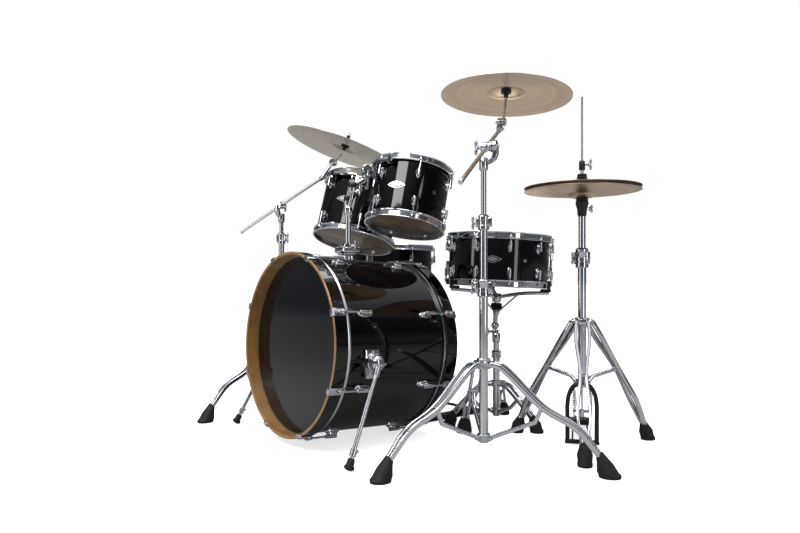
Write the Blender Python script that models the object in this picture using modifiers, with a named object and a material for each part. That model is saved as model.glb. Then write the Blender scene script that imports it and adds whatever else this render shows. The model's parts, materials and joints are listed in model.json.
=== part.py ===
"""Acoustic drum kit: bass drum, two hung toms, floor tom, snare, hi-hat and two boom cymbals.

Metres, +Z up.  The player sits on the +Y side and the audience is on the -Y side, so the
hi-hat is at +X.  Everything is laid out round the bass drum and the frame is then centred
on the kit's footprint, with the floor at Z = 0.
"""
import math

import bmesh
import bpy
from mathutils import Matrix, Vector

INCH = 0.0254
GAP = 0.0003                    # clearance between pieces that touch

# ---- drums: shell diameter and depth, wall, where the centre is and which way the batter faces
BASS_RADIUS = 11 * INCH + 0.0006
BASS_DEPTH = 0.371
BASS_HOOP_RADIUS = 0.290
BASS_HOOP_WIDTH = 0.044
BASS_FRONT_LIFT = 0.023         # how much higher the front end stands
BASS_SPAN = 0.463               # over both hoops
BASS_LUGS = 8

SHELL_WALL = 0.007
HOOP_RISE = 0.011               # metal rim above the head
HOOP_SKIRT = 0.013              # metal rim below the bearing edge
HOOP_OUT = 0.0105               # metal rim outside the shell
HEAD_FILM = 0.001
FLESH_RING = 0.0052             # head's own ring outside the shell
FLESH_DEPTH = 0.008
ROD_OUT = 0.0082                # tension rods outside the shell
ROD_RADIUS = 0.0022
LUG_RADIUS = 0.0092
LUG_LENGTH = 0.036
LUG_SINK = 0.0040                # how far a lug reaches into the shell wall

TOM_HIGH = {"radius": 5 * INCH, "depth": 0.196, "lugs": 6, "first_lug": -28.8,
            "centre": (0.0917, 0.1899, 0.7911), "axis": (-0.06, 0.247, 0.967)}
TOM_LOW = {"radius": 6 * INCH, "depth": 9 * INCH, "lugs": 6, "first_lug": -28.8,
           "centre": (-0.3391, 0.2795, 0.7788), "axis": (-0.072, 0.29, 0.954)}
FLOOR_TOM = {"radius": 7 * INCH, "depth": 14 * INCH, "lugs": 6, "first_lug": -10.0,
             "centre": (-0.516, 0.578, 0.474), "axis": (0, 0, 1)}
SNARE = {"radius": 7 * INCH, "depth": 6.5 * INCH, "lugs": 10, "first_lug": -34.5,
         "centre": (0.174, 0.540, 0.5815), "axis": (0.026, 0.033, 0.999)}

# ---- stands: where the post stands, where the first foot points and how far out the feet are
CRASH_POST = Vector((0.510, 0.1256, 0))
RIDE_POST = Vector((-0.525, 0.030, 0))
HIHAT_POST = Vector((0.5707, 0.4968, 0))
SNARE_POST = Vector((0.205, 0.497, 0))
# leg lines as (distance out, height, half the space between the two straps)
BOOM_LEG = [(0.026, 0.276, 0.015), (0.064, 0.263, 0.016), (0.168, 0.168, 0.012),
            (0.258, 0.121, 0.009), (0.318, 0.056, 0.006)]
BOOM_STAY = [(0.016, 0.066), (0.148, 0.124), (0.168, 0.168)]
HIHAT_LEG = [(0.026, 0.384, 0.018), (0.060, 0.330, 0.020), (0.126, 0.232, 0.009),
             (0.185, 0.130, 0.018), (0.222, 0.054, 0.007)]
HIHAT_STAY = [(0.016, 0.192), (0.040, 0.212), (0.126, 0.232)]
SNARE_LEG = [(0.024, 0.146, 0.012), (0.060, 0.136, 0.013), (0.130, 0.074, 0.009), (0.156, 0.048, 0.006)]
SNARE_STAY = [(0.016, 0.048), (0.060, 0.064), (0.098, 0.102)]
STRAP_RADIUS = 0.0065
STAY_RADIUS = 0.0056

LOW_TUBE, LOW_BORE = 0.0127, 0.0113
MID_TUBE, MID_BORE = 0.0109, 0.0083
TOP_TUBE = 0.0079
TUBE_SIDES = 12
BASS_SIDES = 32
DRUM_SIDES = 24
CYMBAL_SIDES = 20

# ---- cymbals: rim radius, the rim circle's centre and the way the bell points
CRASH = {"radius": 8 * INCH, "bell": 0.056, "rise": 0.027, "centre": Vector((0.420, 0.315, 1.087)),
         "axis": Vector((-0.013, 0.073, 0.997))}
RIDE = {"radius": 9 * INCH, "bell": 0.062, "rise": 0.030, "centre": Vector((-0.320, 0.192, 1.017)),
        "axis": Vector((0.16, 0.291, 0.943))}
HIHAT = {"radius": 7 * INCH, "bell": 0.055, "rise": 0.024}
HIHAT_RIMS = (0.790, 0.8015)    # bottom and top cymbal
CYMBAL_THICKNESS = 0.0014
CYMBAL_HOLE = 0.0062

# ---- places of the fittings, in the same plan
BASS_LUG_MIDDLE = 0.116         # the bass drum's lugs either side of its middle
BASS_LUG_LENGTH = 0.046
BASS_LUG_END = BASS_LUG_MIDDLE + BASS_LUG_LENGTH / 2
HOLDER = Vector((0, 0.002, 0))  # the post that carries both toms, and the top of its saddle
HOLDER_RADIUS = 0.0100
SPUR_HEIGHT, SPUR_FORWARD = 0.275, -0.103    # hinge of each folding leg
FOOT_CLEAR = 0.001              # legs that slide or fold stop this far off the floor
SPUR_FOOT = Vector((0.363, -0.238, 0))
HOLDER_BASE_TOP = 0.634
YOKE_FOOT = 0.742               # where the post forks towards the two ball sockets
HIGH_BALL = Vector((0.014, 0.010, 0.828))
LOW_BALL = Vector((-0.018, 0.012, 0.787))
BALL_RADIUS = 0.0135
LEG_ANGLES = (20, 140, 260)     # floor tom legs, round its shell
LEG_OUT = 0.026
LEG_RADIUS = 0.0050
LEG_TOP = 0.500
# each boom's tail, pivot and tip, then its cymbal tilter's pivot
BARREL_HALF = 0.017
CRASH_ARM = ((0.6401, -0.0861, 0.7586), (0.5156, 0.1331, 0.8925), (0.4371, 0.2713, 0.977),
             (0.4290, 0.2860, 1.0010))
RIDE_ARM = ((-0.6936, -0.0651, 0.7069), (-0.5263, 0.0281, 0.8083), (-0.3560, 0.1232, 0.9120),
            (-0.3385, 0.1570, 0.9690))
PEDAL_AZIMUTH = -51.7 + 180     # the footboard points away from the front leg
HIHAT_HEEL = 0.275              # the footboard's hinge from the hi-hat's post
ARCH_HALF = 0.044
ARCH_TOP = 0.186
SNARE_ARMS = (19.5, -100.5, 139.5)    # the basket's arms, round the drum
SNARE_BALL = Vector((0.1668, 0.5309, 0.346))
HUB_DROP = 0.130                # the basket's hub under the drum's centre
STRAINER_ANGLE = 55.5           # where the throw-off is bolted, between two lugs
PEDAL_AXLE = Vector((0, 0.290, 0.178))      # the bass drum pedal's axle and heel hinge
PEDAL_HEEL = Vector((0, 0.545, 0.026))
PEDAL_HALF = 0.048
BEATER_REACH = 0.195
BEATER_REST = 32                # degrees back from upright

IDENTITY = Matrix.Identity(4)
Z_AXIS = Vector((0, 0, 1))

KIT = bpy.data.collections.new("drum_kit")
SHOP = bpy.data.collections.new("drum_kit_construction")
MATERIALS = {}
FINISHES = {
    "lacquer": ((0.010, 0.010, 0.012), 0.08, 0.0),
    "maple": ((0.45, 0.24, 0.10), 0.35, 0.0),
    "chrome": ((0.80, 0.81, 0.83), 0.08, 1.0),
    "black_film": ((0.012, 0.014, 0.020), 0.12, 0.0),
    "coated_film": ((0.86, 0.86, 0.84), 0.45, 0.0),
    "clear_film": ((0.72, 0.70, 0.66), 0.12, 0.0),
    "bronze": ((0.72, 0.55, 0.34), 0.26, 1.0),
    "black_steel": ((0.020, 0.020, 0.022), 0.35, 0.0),
    "rubber": ((0.018, 0.018, 0.018), 0.75, 0.0),
    "snare_wire": ((0.62, 0.62, 0.62), 0.30, 1.0),
}


# ---------------------------------------------------------------- making shapes
def add_object(name, mesh):
    piece = bpy.data.objects.new(name, mesh)
    SHOP.objects.link(piece)
    return piece


def from_bmesh(bm, place=IDENTITY):
    bmesh.ops.recalc_face_normals(bm, faces=bm.faces)
    mesh = bpy.data.meshes.new("shape")
    bm.to_mesh(mesh)
    bm.free()
    mesh.transform(place)
    return add_object("shape", mesh)


def evaluated(piece):
    """The piece as its modifiers leave it, as a plain mesh, with doubled points merged."""
    bpy.context.view_layer.update()
    view = bpy.context.evaluated_depsgraph_get()
    mesh = bpy.data.meshes.new_from_object(piece.evaluated_get(view), depsgraph=view)
    mesh.transform(piece.matrix_world)
    bm = bmesh.new()
    bm.from_mesh(mesh)
    bmesh.ops.remove_doubles(bm, verts=bm.verts, dist=2e-6)
    bmesh.ops.dissolve_degenerate(bm, edges=bm.edges, dist=2e-6)
    bmesh.ops.dissolve_limit(bm, verts=bm.verts, edges=bm.edges, angle_limit=math.radians(0.3))
    bmesh.ops.recalc_face_normals(bm, faces=bm.faces)
    bm.to_mesh(mesh)
    bm.free()
    return mesh


def baked(piece, place=IDENTITY):
    mesh = evaluated(piece)
    bpy.data.objects.remove(piece)
    mesh.transform(place)
    return add_object("shape", mesh)


def block(size, centre, place=IDENTITY):
    bm = bmesh.new()
    shape = Matrix.Translation(centre) @ Matrix.Diagonal((*size, 1))
    bmesh.ops.create_cube(bm, size=1.0, matrix=shape)
    return from_bmesh(bm, place)


def rod(start, end, radius, end_radius=None, sides=8, place=IDENTITY):
    start, end = Vector(start), Vector(end)
    turn = Z_AXIS.rotation_difference(end - start).to_matrix().to_4x4()
    bm = bmesh.new()
    bmesh.ops.create_cone(bm, cap_ends=True, segments=sides, radius1=radius,
                          radius2=radius if end_radius is None else end_radius,
                          depth=(end - start).length,
                          matrix=Matrix.Translation((start + end) / 2) @ turn)
    return from_bmesh(bm, place)


def ball(centre, radius, place=IDENTITY):
    bm = bmesh.new()
    bmesh.ops.create_uvsphere(bm, u_segments=10, v_segments=6, radius=radius,
                              matrix=Matrix.Translation(centre))
    return from_bmesh(bm, place)


def turned(profile, steps, place=IDENTITY):
    """A profile of (radius, height) turned round Z; a profile off the axis closes on itself."""
    bm = bmesh.new()
    points = [bm.verts.new((r, 0, z)) for r, z in profile]
    for first, second in zip(points, points[1:]):
        bm.edges.new((first, second))
    if profile[0][0] > 0:
        bm.edges.new((points[-1], points[0]))
    mesh = bpy.data.meshes.new("profile")
    bm.to_mesh(mesh)
    bm.free()
    piece = add_object("profile", mesh)
    screw = piece.modifiers.new("turn", "SCREW")
    screw.steps = screw.render_steps = steps
    screw.use_merge_vertices = True
    screw.merge_threshold = 0.00001
    return baked(piece, place)


def bar(points, radius, place=IDENTITY, resolution=0):
    """A plain bar along a run of points, with flat ends; its section has four or more sides."""
    curve = bpy.data.curves.new("bar", "CURVE")
    curve.dimensions = "3D"
    curve.bevel_depth = radius
    curve.bevel_resolution = resolution
    curve.use_fill_caps = True
    spline = curve.splines.new("POLY")
    spline.points.add(len(points) - 1)
    for knot, point in zip(spline.points, points):
        knot.co = (*point, 1)
    return baked(add_object("bar", curve), place)


def hull(points, place=IDENTITY):
    bm = bmesh.new()
    for point in points:
        bm.verts.new(point)
    made = bmesh.ops.convex_hull(bm, input=bm.verts)
    spare = [item for item in made["geom_interior"] if isinstance(item, bmesh.types.BMVert)]
    bmesh.ops.delete(bm, geom=spare, context="VERTS")
    return from_bmesh(bm, place)


def boolean(piece, others, operation):
    """The piece with all the others joined to it or cut out of it, in one step."""
    if not others:
        return piece
    group = bpy.data.collections.new("operands")
    bpy.context.scene.collection.children.link(group)
    for other in others:
        group.objects.link(other)
    step = piece.modifiers.new(operation.lower(), "BOOLEAN")
    step.operation = operation
    step.solver = "EXACT"
    step.operand_type = "COLLECTION"
    step.collection = group
    mesh = evaluated(piece)
    for used in [piece, *others]:
        bpy.data.objects.remove(used)
    bpy.data.collections.remove(group)
    return add_object("shape", mesh)


def fuse(*pieces):
    return boolean(pieces[0], list(pieces[1:]), "UNION")


def carve(piece, *cutters):
    return boolean(piece, list(cutters), "DIFFERENCE")


# ---------------------------------------------------------------- naming, colour and joints
def finish_material(finish):
    if finish not in MATERIALS:
        colour, roughness, metallic = FINISHES[finish]
        material = bpy.data.materials.new(finish)
        material.use_nodes = True
        shader = material.node_tree.nodes["Principled BSDF"]
        shader.inputs["Base Color"].default_value = (*colour, 1)
        shader.inputs["Roughness"].default_value = roughness
        shader.inputs["Metallic"].default_value = metallic
        material.diffuse_color = (*colour, 1)
        MATERIALS[finish] = material
    return MATERIALS[finish]


def joint(name, point, parent=None):
    """An empty on a joint's axis; what moves on that joint hangs from it."""
    pivot = bpy.data.objects.new(name, None)
    pivot.empty_display_size = 0.04
    KIT.objects.link(pivot)
    pivot["at"] = list(point)
    if parent is not None:
        pivot.parent = parent
        pivot.location = Vector(point) - Vector(parent["at"])
    return pivot


def part(name, shape, finish, pivot):
    """Names a finished shape, gives it its colour and hangs it from its joint."""
    mesh = shape.data
    bpy.data.objects.remove(shape)
    mesh.transform(Matrix.Translation(-Vector(pivot["at"])))
    mesh.name = name
    mesh.materials.clear()
    mesh.materials.append(finish_material(finish))
    mesh.shade_smooth()
    mesh.set_sharp_from_angle(angle=math.radians(35))
    piece = bpy.data.objects.new(name, mesh)
    KIT.objects.link(piece)
    piece.parent = pivot
    return piece


def standing(centre, axis):
    """A place whose Z points along the axis and whose X stays as near +X as it can."""
    up = Vector(axis).normalized()
    side = Vector((0, 1, 0)).cross(up).normalized()
    back = up.cross(side)
    turn = Matrix((side, back, up)).transposed().to_4x4()
    return Matrix.Translation(centre) @ turn


def around(radius, degrees, height=0.0):
    angle = math.radians(degrees)
    return Vector((radius * math.cos(angle), radius * math.sin(angle), height))


# ---------------------------------------------------------------- drums
def shell_ring(radius, depth, sides):
    half = depth / 2
    return turned([(radius, half), (radius, -half), (radius - SHELL_WALL, -half),
                   (radius - SHELL_WALL, half)], sides)


def head_disc(radius, half, sides, ring=FLESH_RING, depth=FLESH_DEPTH):
    """A film over the bearing edge, with the ring that the rim pulls down."""
    low, high = half + GAP, half + GAP + HEAD_FILM
    edge = radius + ring
    inner = radius + 2 * GAP
    return turned([(0, high), (edge, high), (edge, high - depth), (inner, high - depth),
                   (inner, low), (0, low)], sides)


def metal_rim(radius, half, sides):
    """A tall flanged rim that presses on the head's ring."""
    band = radius + HOOP_OUT
    inside = radius + FLESH_RING + 2 * GAP
    lip = half + GAP + HEAD_FILM + GAP
    top, skirt = half + HOOP_RISE, half - HOOP_SKIRT
    return turned([(band, top), (band, skirt), (inside, skirt), (inside, lip), (radius + 0.003, top)],
                  sides)


def tuned_rim(drum, half, flip):
    """A rim with a tension rod at each lug."""
    radius = drum["radius"]
    pieces = [metal_rim(radius, half, drum["sides"])]
    for index in range(drum["lugs"]):
        spot = around(radius + ROD_OUT, drum["first_lug"] + 360 / drum["lugs"] * index)
        tip = half - drum["lug_inset"] + LUG_LENGTH / 2 + GAP
        pieces.append(rod(spot + Z_AXIS * tip, spot + Z_AXIS * (half - HOOP_SKIRT + 0.004), ROD_RADIUS,
                          sides=4))
    rim = fuse(*pieces)
    if flip:
        rim.data.transform(Matrix.Diagonal((1, 1, -1, 1)))
        rim.data.flip_normals()
    return rim


def lugged_shell(drum):
    radius, half = drum["radius"], drum["depth"] / 2
    pieces = [shell_ring(radius, drum["depth"], drum["sides"])]
    for index in range(drum["lugs"]):
        spot = around(radius + LUG_RADIUS - LUG_SINK, drum["first_lug"] + 360 / drum["lugs"] * index)
        for side in (-1, 1):
            middle = side * (half - drum["lug_inset"])
            pieces.append(rod(spot + Z_AXIS * (middle - LUG_LENGTH / 2),
                              spot + Z_AXIS * (middle + LUG_LENGTH / 2), LUG_RADIUS, sides=5))
    return fuse(*pieces)


def placed(shape, place):
    shape.data.transform(place)
    return shape


def build_drum(name, drum, pivot, extras=(), joined_bottom=False):
    """Shell with lugs, two tuned rims and two heads, all in the drum's own place.

    With joined_bottom the lower head and its rim are one solid.
    """
    place = standing(drum["centre"], drum["axis"])
    half = drum["depth"] / 2
    under = Matrix.Rotation(math.pi, 4, "X")
    shell = lugged_shell(drum)
    if extras:
        shell = fuse(shell, *extras)
    part(name + "_shell", placed(shell, place), "lacquer", pivot)
    for end, flip, film in (("top", False, "coated_film"), ("bottom", True, "clear_film")):
        rim = tuned_rim(drum, half, flip)
        if flip and joined_bottom:
            head = head_disc(drum["radius"], half, drum["sides"], ring=FLESH_RING + 4 * GAP)
            part(f"{name}_{end}_hoop", placed(fuse(rim, placed(head, under)), place), "chrome", pivot)
            continue
        part(f"{name}_{end}_hoop", placed(rim, place), "chrome", pivot)
        head = head_disc(drum["radius"], half, drum["sides"])
        part(f"{name}_{end}_head", placed(head, place @ under if flip else place), film, pivot)
    return place


# ---------------------------------------------------------------- bass drum
def bass_place():
    tilt = math.asin(BASS_FRONT_LIFT / BASS_SPAN)
    middle = BASS_HOOP_RADIUS + BASS_FRONT_LIFT / 2
    return Matrix.Translation((0, 0, middle)) @ Matrix.Rotation(math.pi / 2 - tilt, 4, "X")


def bass_lug_angle(index):
    return 360 / BASS_LUGS * (index + 0.5)


def bass_hoop():
    """A bent wood hoop with a claw hook and T-rod at each lug."""
    half = BASS_DEPTH / 2
    low = half + GAP + HEAD_FILM + GAP
    high = low + BASS_HOOP_WIDTH
    inside = BASS_HOOP_RADIUS - 0.0095
    ring = turned([(BASS_HOOP_RADIUS, high), (BASS_HOOP_RADIUS, low), (inside, low), (inside, high)],
                  BASS_SIDES)
    pieces = [ring]
    for index in range(BASS_LUGS):
        turn = Matrix.Rotation(math.radians(bass_lug_angle(index)), 4, "Z")
        pieces.append(block((0.0075, 0.024, 0.054), (BASS_HOOP_RADIUS + 0.0032, 0, high - 0.024), turn))
        pieces.append(block((0.014, 0.024, 0.0035), (BASS_HOOP_RADIUS - 0.0005, 0, high + 0.0013), turn))
        start = (BASS_HOOP_RADIUS + 0.0020, 0, BASS_LUG_END + GAP)
        pieces.append(rod(start, (start[0], 0, high - 0.030), 0.0030, sides=4, place=turn))
    return fuse(*pieces)


def bass_shell():
    """The shell with its lugs and spur brackets, and the hole the tom post drops through."""
    pieces = [shell_ring(BASS_RADIUS, BASS_DEPTH, BASS_SIDES)]
    for index in range(BASS_LUGS):
        turn = Matrix.Rotation(math.radians(bass_lug_angle(index)), 4, "Z")
        for side in (-1, 1):
            middle = Vector((BASS_RADIUS + 0.0105 - LUG_SINK, 0, side * BASS_LUG_MIDDLE))
            run = Z_AXIS * BASS_LUG_LENGTH / 2
            pieces.append(rod(middle - run, middle + run, 0.0105, sides=5, place=turn))
    shell = placed(fuse(*pieces), bass_place())
    brackets = []
    for side in (-1, 1):
        middle = Vector((side * BASS_RADIUS, SPUR_FORWARD, SPUR_HEIGHT))
        brackets.append(block((0.016, 0.050, 0.084), middle + Vector((side * 0.003, 0, -0.004))))
        brackets.append(rod(middle - Vector((side * 0.002, 0, 0)), middle + Vector((side * 0.030, 0, 0)),
                            0.027, 0.023, sides=12))
    shell = fuse(shell, *brackets)
    hole = rod(HOLDER + Z_AXIS * 0.54, HOLDER + Z_AXIS * 0.60, HOLDER_RADIUS + 0.0015, sides=TUBE_SIDES)
    return carve(shell, hole)


def spur(side):
    """A folding leg: knuckle, rod, wing nut boss and rubber foot."""
    hinge = Vector((side * (BASS_RADIUS + 0.030 + GAP), SPUR_FORWARD, SPUR_HEIGHT))
    knuckle_end = hinge + Vector((side * 0.020, 0, 0))
    foot = Vector((side * SPUR_FOOT.x, SPUR_FOOT.y, FOOT_CLEAR))
    start = hinge + Vector((side * 0.010, 0, 0))
    line = foot - start
    ankle = start + line * 0.90
    return fuse(rod(hinge, knuckle_end, 0.022, 0.019, sides=12),
                rod(start, ankle, 0.0066),
                rod(start + line * 0.80, start + line * 0.865, 0.0095),
                hull([ankle + around(0.0095, a * 45) for a in range(8)]
                     + [foot + around(0.0135, a * 45) for a in range(8)]))


def build_bass_drum(frame):
    place = bass_place()
    half = BASS_DEPTH / 2
    back = place @ Matrix.Rotation(math.pi, 4, "X")
    part("bass_shell", bass_shell(), "lacquer", frame)
    part("bass_front_hoop", placed(bass_hoop(), place), "maple", frame)
    part("bass_rear_hoop", placed(bass_hoop(), back), "lacquer", frame)
    for name, turn, film in (("bass_front_head", place, "black_film"),
                             ("bass_batter_head", back, "coated_film")):
        head = head_disc(BASS_RADIUS, half, BASS_SIDES, ring=0.0062)
        part(name, placed(head, turn), film, frame)
    for name, side in (("left", -1), ("right", 1)):
        hinge = joint(f"joint_spur_{name}", (side * BASS_RADIUS, SPUR_FORWARD, SPUR_HEIGHT), frame)
        part(f"spur_{name}", spur(side), "chrome", hinge)


# ---------------------------------------------------------------- tom holder and hung toms
def holder_base():
    saddle = fuse(block((0.052, 0.074, 0.050), HOLDER + Z_AXIS * 0.592),
                  rod(HOLDER + Z_AXIS * 0.600, HOLDER + Z_AXIS * HOLDER_BASE_TOP, 0.0200, 0.0165, sides=12),
                  rod(HOLDER + Vector((0.010, 0, 0.622)), HOLDER + Vector((0.036, 0, 0.622)), 0.0055,
                      sides=8),
                  block((0.005, 0.030, 0.012), HOLDER + Vector((0.037, 0, 0.622))))
    place = bass_place()
    drum = rod((0, 0, -0.2), (0, 0, 0.2), BASS_RADIUS + GAP, sides=80, place=place)
    bore = rod(HOLDER + Z_AXIS * 0.55, HOLDER + Z_AXIS * 0.66, HOLDER_RADIUS + GAP, sides=TUBE_SIDES)
    return carve(saddle, drum, bore)


def holder_post():
    """The sliding post with a forked yoke that carries both ball joints."""
    shape = [rod(HOLDER + Z_AXIS * 0.480, HOLDER + Z_AXIS * YOKE_FOOT, HOLDER_RADIUS, sides=TUBE_SIDES),
             rod(HOLDER + Z_AXIS * (YOKE_FOOT - 0.012), HOLDER + Z_AXIS * (YOKE_FOOT + 0.014), 0.0145,
                 sides=12)]
    for centre in (HIGH_BALL, LOW_BALL):
        cup = centre - Z_AXIS * (BALL_RADIUS + 0.006)
        shape.append(bar([HOLDER + Z_AXIS * YOKE_FOOT, cup - Z_AXIS * 0.004], 0.0070))
        shape.append(rod(cup - Z_AXIS * 0.006, cup + Z_AXIS * 0.0050, 0.0110, sides=10))
    return fuse(*shape)


def tom_arm(drum, centre):
    """Ball, L-rod, clamp block and the curved bracket that hangs the tom by its rim."""
    place = standing(drum["centre"], drum["axis"])
    radius, half = drum["radius"], drum["depth"] / 2
    inner = radius + 0.0200
    outer = inner + 0.004
    local = place.inverted() @ centre
    facing = math.degrees(math.atan2(local.y, local.x))
    band = turned([(outer, half - 0.010), (outer, half - 0.026), (inner, half - 0.026),
                   (inner, half - 0.010)], DRUM_SIDES)
    reach = 0.6
    keep = hull([around(0, facing, z) for z in (0, half)]
                + [around(reach, facing + a, z) for a in (-46, -23, 0, 23, 46) for z in (0, half)])
    band = boolean(band, [keep], "INTERSECT")
    clamp = around(outer + 0.012, facing, half - 0.040)
    turn = Matrix.Rotation(math.radians(facing), 4, "Z")
    grip = block((0.026, 0.040, 0.060), (outer + 0.0110, 0, half - 0.040), turn)
    tail = block((0.0040, 0.022, 0.060), (outer - 0.0018, 0, half - 0.052), turn)
    fixture = placed(fuse(band, grip, tail), place)
    hold = place @ clamp
    elbow = Vector((hold.x, hold.y, centre.z))
    return fuse(ball(centre, BALL_RADIUS),
                bar([centre, elbow.lerp(hold, 0.5)], 0.0058),
                ball(elbow.lerp(hold, 0.5), 0.0075),
                bar([elbow.lerp(hold, 0.5), hold], 0.0058), fixture)


def build_toms(frame):
    part("tom_holder_base", holder_base(), "chrome", frame)
    post = joint("joint_tom_post", HOLDER + Z_AXIS * YOKE_FOOT, frame)
    part("tom_post", holder_post(), "chrome", post)
    for name, drum, centre in (("high_tom", TOM_HIGH, HIGH_BALL), ("low_tom", TOM_LOW, LOW_BALL)):
        drum.update(sides=DRUM_SIDES, lug_inset=0.050)
        tilt = joint(f"joint_{name}_tilt", centre, post)
        part(f"{name}_arm", tom_arm(drum, centre), "chrome", tilt)
        build_drum(name, drum, tilt)


# ---------------------------------------------------------------- floor tom
def build_floor_tom(frame):
    drum = FLOOR_TOM
    drum.update(sides=DRUM_SIDES, lug_inset=0.056)
    x, y, height = drum["centre"]
    extras = []
    for angle in LEG_ANGLES:
        turn = Matrix.Rotation(math.radians(angle), 4, "Z")
        body = block((0.034, 0.030, 0.052), (drum["radius"] + LEG_OUT - 0.012, 0, -0.060), turn)
        spot = around(drum["radius"] + LEG_OUT, angle)
        extras.append(carve(body, rod(spot + Z_AXIS * -0.1, spot, LEG_RADIUS + GAP)))
    build_drum("floor_tom", drum, frame, extras, joined_bottom=True)
    for name, angle in zip(("front", "back", "side"), LEG_ANGLES):
        spot = around(drum["radius"] + LEG_OUT, angle) + Vector((x, y, 0))
        slide = joint(f"joint_floor_leg_{name}", spot + Z_AXIS * (height - 0.06), frame)
        leg = fuse(rod(spot + Z_AXIS * 0.02, spot + Z_AXIS * LEG_TOP, LEG_RADIUS),
                   rod(spot + Z_AXIS * FOOT_CLEAR, spot + Z_AXIS * 0.045, 0.0150, 0.0095, sides=12))
        part(f"floor_tom_leg_{name}", leg, "chrome", slide)


# ---------------------------------------------------------------- stands
def foot_shape(post, angle, ankle, reach, width=0.025):
    """A flared rubber foot: flat on the floor, pointing along the leg."""
    toe = post + around(reach, angle)
    ankle_out, ankle_high = ankle
    lift = Vector((0, 0, ankle_high))
    top = post + around(ankle_out, angle) + lift
    across = around(1, angle + 90)
    along = around(1, angle)
    ring = [toe + along * (width * 1.15 * math.cos(a)) + across * (width * math.sin(a))
            for a in (math.tau * i / 8 for i in range(8))]
    cap = [top + across * (0.0135 * math.cos(a)) + (Z_AXIS * 0.6 + along * 0.5) * (0.0130 * math.sin(a))
           for a in (math.tau * i / 6 for i in range(6))]
    skirt = [toe + Z_AXIS * 0.010 + (point - toe) for point in ring]
    return hull(ring + skirt + cap)


def tripod_pieces(post, first, reach, leg, stay, hub, foot, foot_width=0.025):
    """Three double-strap legs with rubber feet, their stays and the two collars."""
    shapes = []
    hub_low, hub_high, hub_radius = hub
    shapes.append(rod(post + Z_AXIS * hub_low, post + Z_AXIS * hub_high, hub_radius, sides=12))
    shapes.append(rod(post + Z_AXIS * foot[0], post + Z_AXIS * foot[1], foot[2], sides=12))
    for index in range(3):
        angle = first + 120 * index
        across = around(1, angle + 90)
        for side in (-1, 1):
            line = [post + around(out, angle, high) + across * (side * half) for out, high, half in leg]
            shapes.append(bar(line, STRAP_RADIUS))
        shapes.append(bar([post + around(out, angle, high) for out, high in stay], STAY_RADIUS))
        lug_out, lug_high, lug_half = leg[0]
        turn = Matrix.Translation(post) @ Matrix.Rotation(math.radians(angle), 4, "Z")
        shapes.append(block((0.026, 2 * lug_half + 0.004, 0.016), (lug_out - 0.005, 0, lug_high), turn))
        knee_out, knee_high = stay[-1]
        shapes.append(block((0.010, 0.030, 0.010), (knee_out, 0, knee_high), turn))
        shapes.append(foot_shape(post, angle, leg[-1][:2], reach, foot_width))
    return shapes


def wing_bolt(post, height, angle, out):
    """A collar's wing bolt: a short shaft with a flat thumb plate."""
    turn = Matrix.Translation(post) @ Matrix.Rotation(math.radians(angle), 4, "Z")
    return [rod((out - 0.004, 0, height), (out + 0.014, 0, height), 0.0045, sides=6, place=turn),
            block((0.010, 0.006, 0.026), (out + 0.016, 0, height), turn)]


def clamp_pieces(post, low, high, radius, angle):
    return [rod(post + Z_AXIS * low, post + Z_AXIS * high, radius, sides=12),
            *wing_bolt(post, (low + high) / 2, angle, radius)]


def tube_bore(post, low, high, radius):
    return rod(post + Z_AXIS * low, post + Z_AXIS * high, radius, sides=TUBE_SIDES)


def boom_base(post, first, bolt_angle):
    shapes = [rod(post + Z_AXIS * 0.052, post + Z_AXIS * 0.470, LOW_TUBE, sides=TUBE_SIDES),
              *clamp_pieces(post, 0.466, 0.518, 0.0185, bolt_angle),
              *tripod_pieces(post, first, 0.3453, BOOM_LEG, BOOM_STAY,
                             (0.262, 0.292, 0.0200), (0.056, 0.078, 0.0190))]
    return carve(fuse(*shapes), tube_bore(post, 0.04, 0.53, LOW_BORE))


def boom_middle(post, bolt_angle):
    shapes = [rod(post + Z_AXIS * 0.300, post + Z_AXIS * 0.660, MID_TUBE, sides=TUBE_SIDES),
              *clamp_pieces(post, 0.656, 0.699, 0.0165, bolt_angle)]
    return carve(fuse(*shapes), tube_bore(post, 0.29, 0.71, MID_BORE))


def boom_top(post, pivot, axle):
    """The top tube with the toothed cheek that the boom's barrel is locked against."""
    cheek = pivot + axle * (BARREL_HALF + GAP + 0.0075)
    shoulder = Vector((post.x, post.y, pivot.z - 0.040))
    foot = Vector((cheek.x, cheek.y, shoulder.z))
    return fuse(rod(post + Z_AXIS * 0.530, post + Z_AXIS * (pivot.z - 0.036), TOP_TUBE, sides=TUBE_SIDES),
                rod(post + Z_AXIS * (pivot.z - 0.068), post + Z_AXIS * (pivot.z - 0.031), 0.0120, sides=12),
                bar([shoulder, foot, Vector((cheek.x, cheek.y, pivot.z))], 0.0068),
                rod(pivot + axle * (BARREL_HALF + GAP), pivot + axle * (BARREL_HALF + GAP + 0.011),
                    0.0165, sides=12),
                rod(pivot + axle * (BARREL_HALF + 0.008), pivot + axle * (BARREL_HALF + 0.024), 0.0045,
                    sides=8),
                rod(pivot + axle * (BARREL_HALF + 0.020) - Z_AXIS * 0.013,
                    pivot + axle * (BARREL_HALF + 0.020) + Z_AXIS * 0.013, 0.0050, sides=8))


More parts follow.
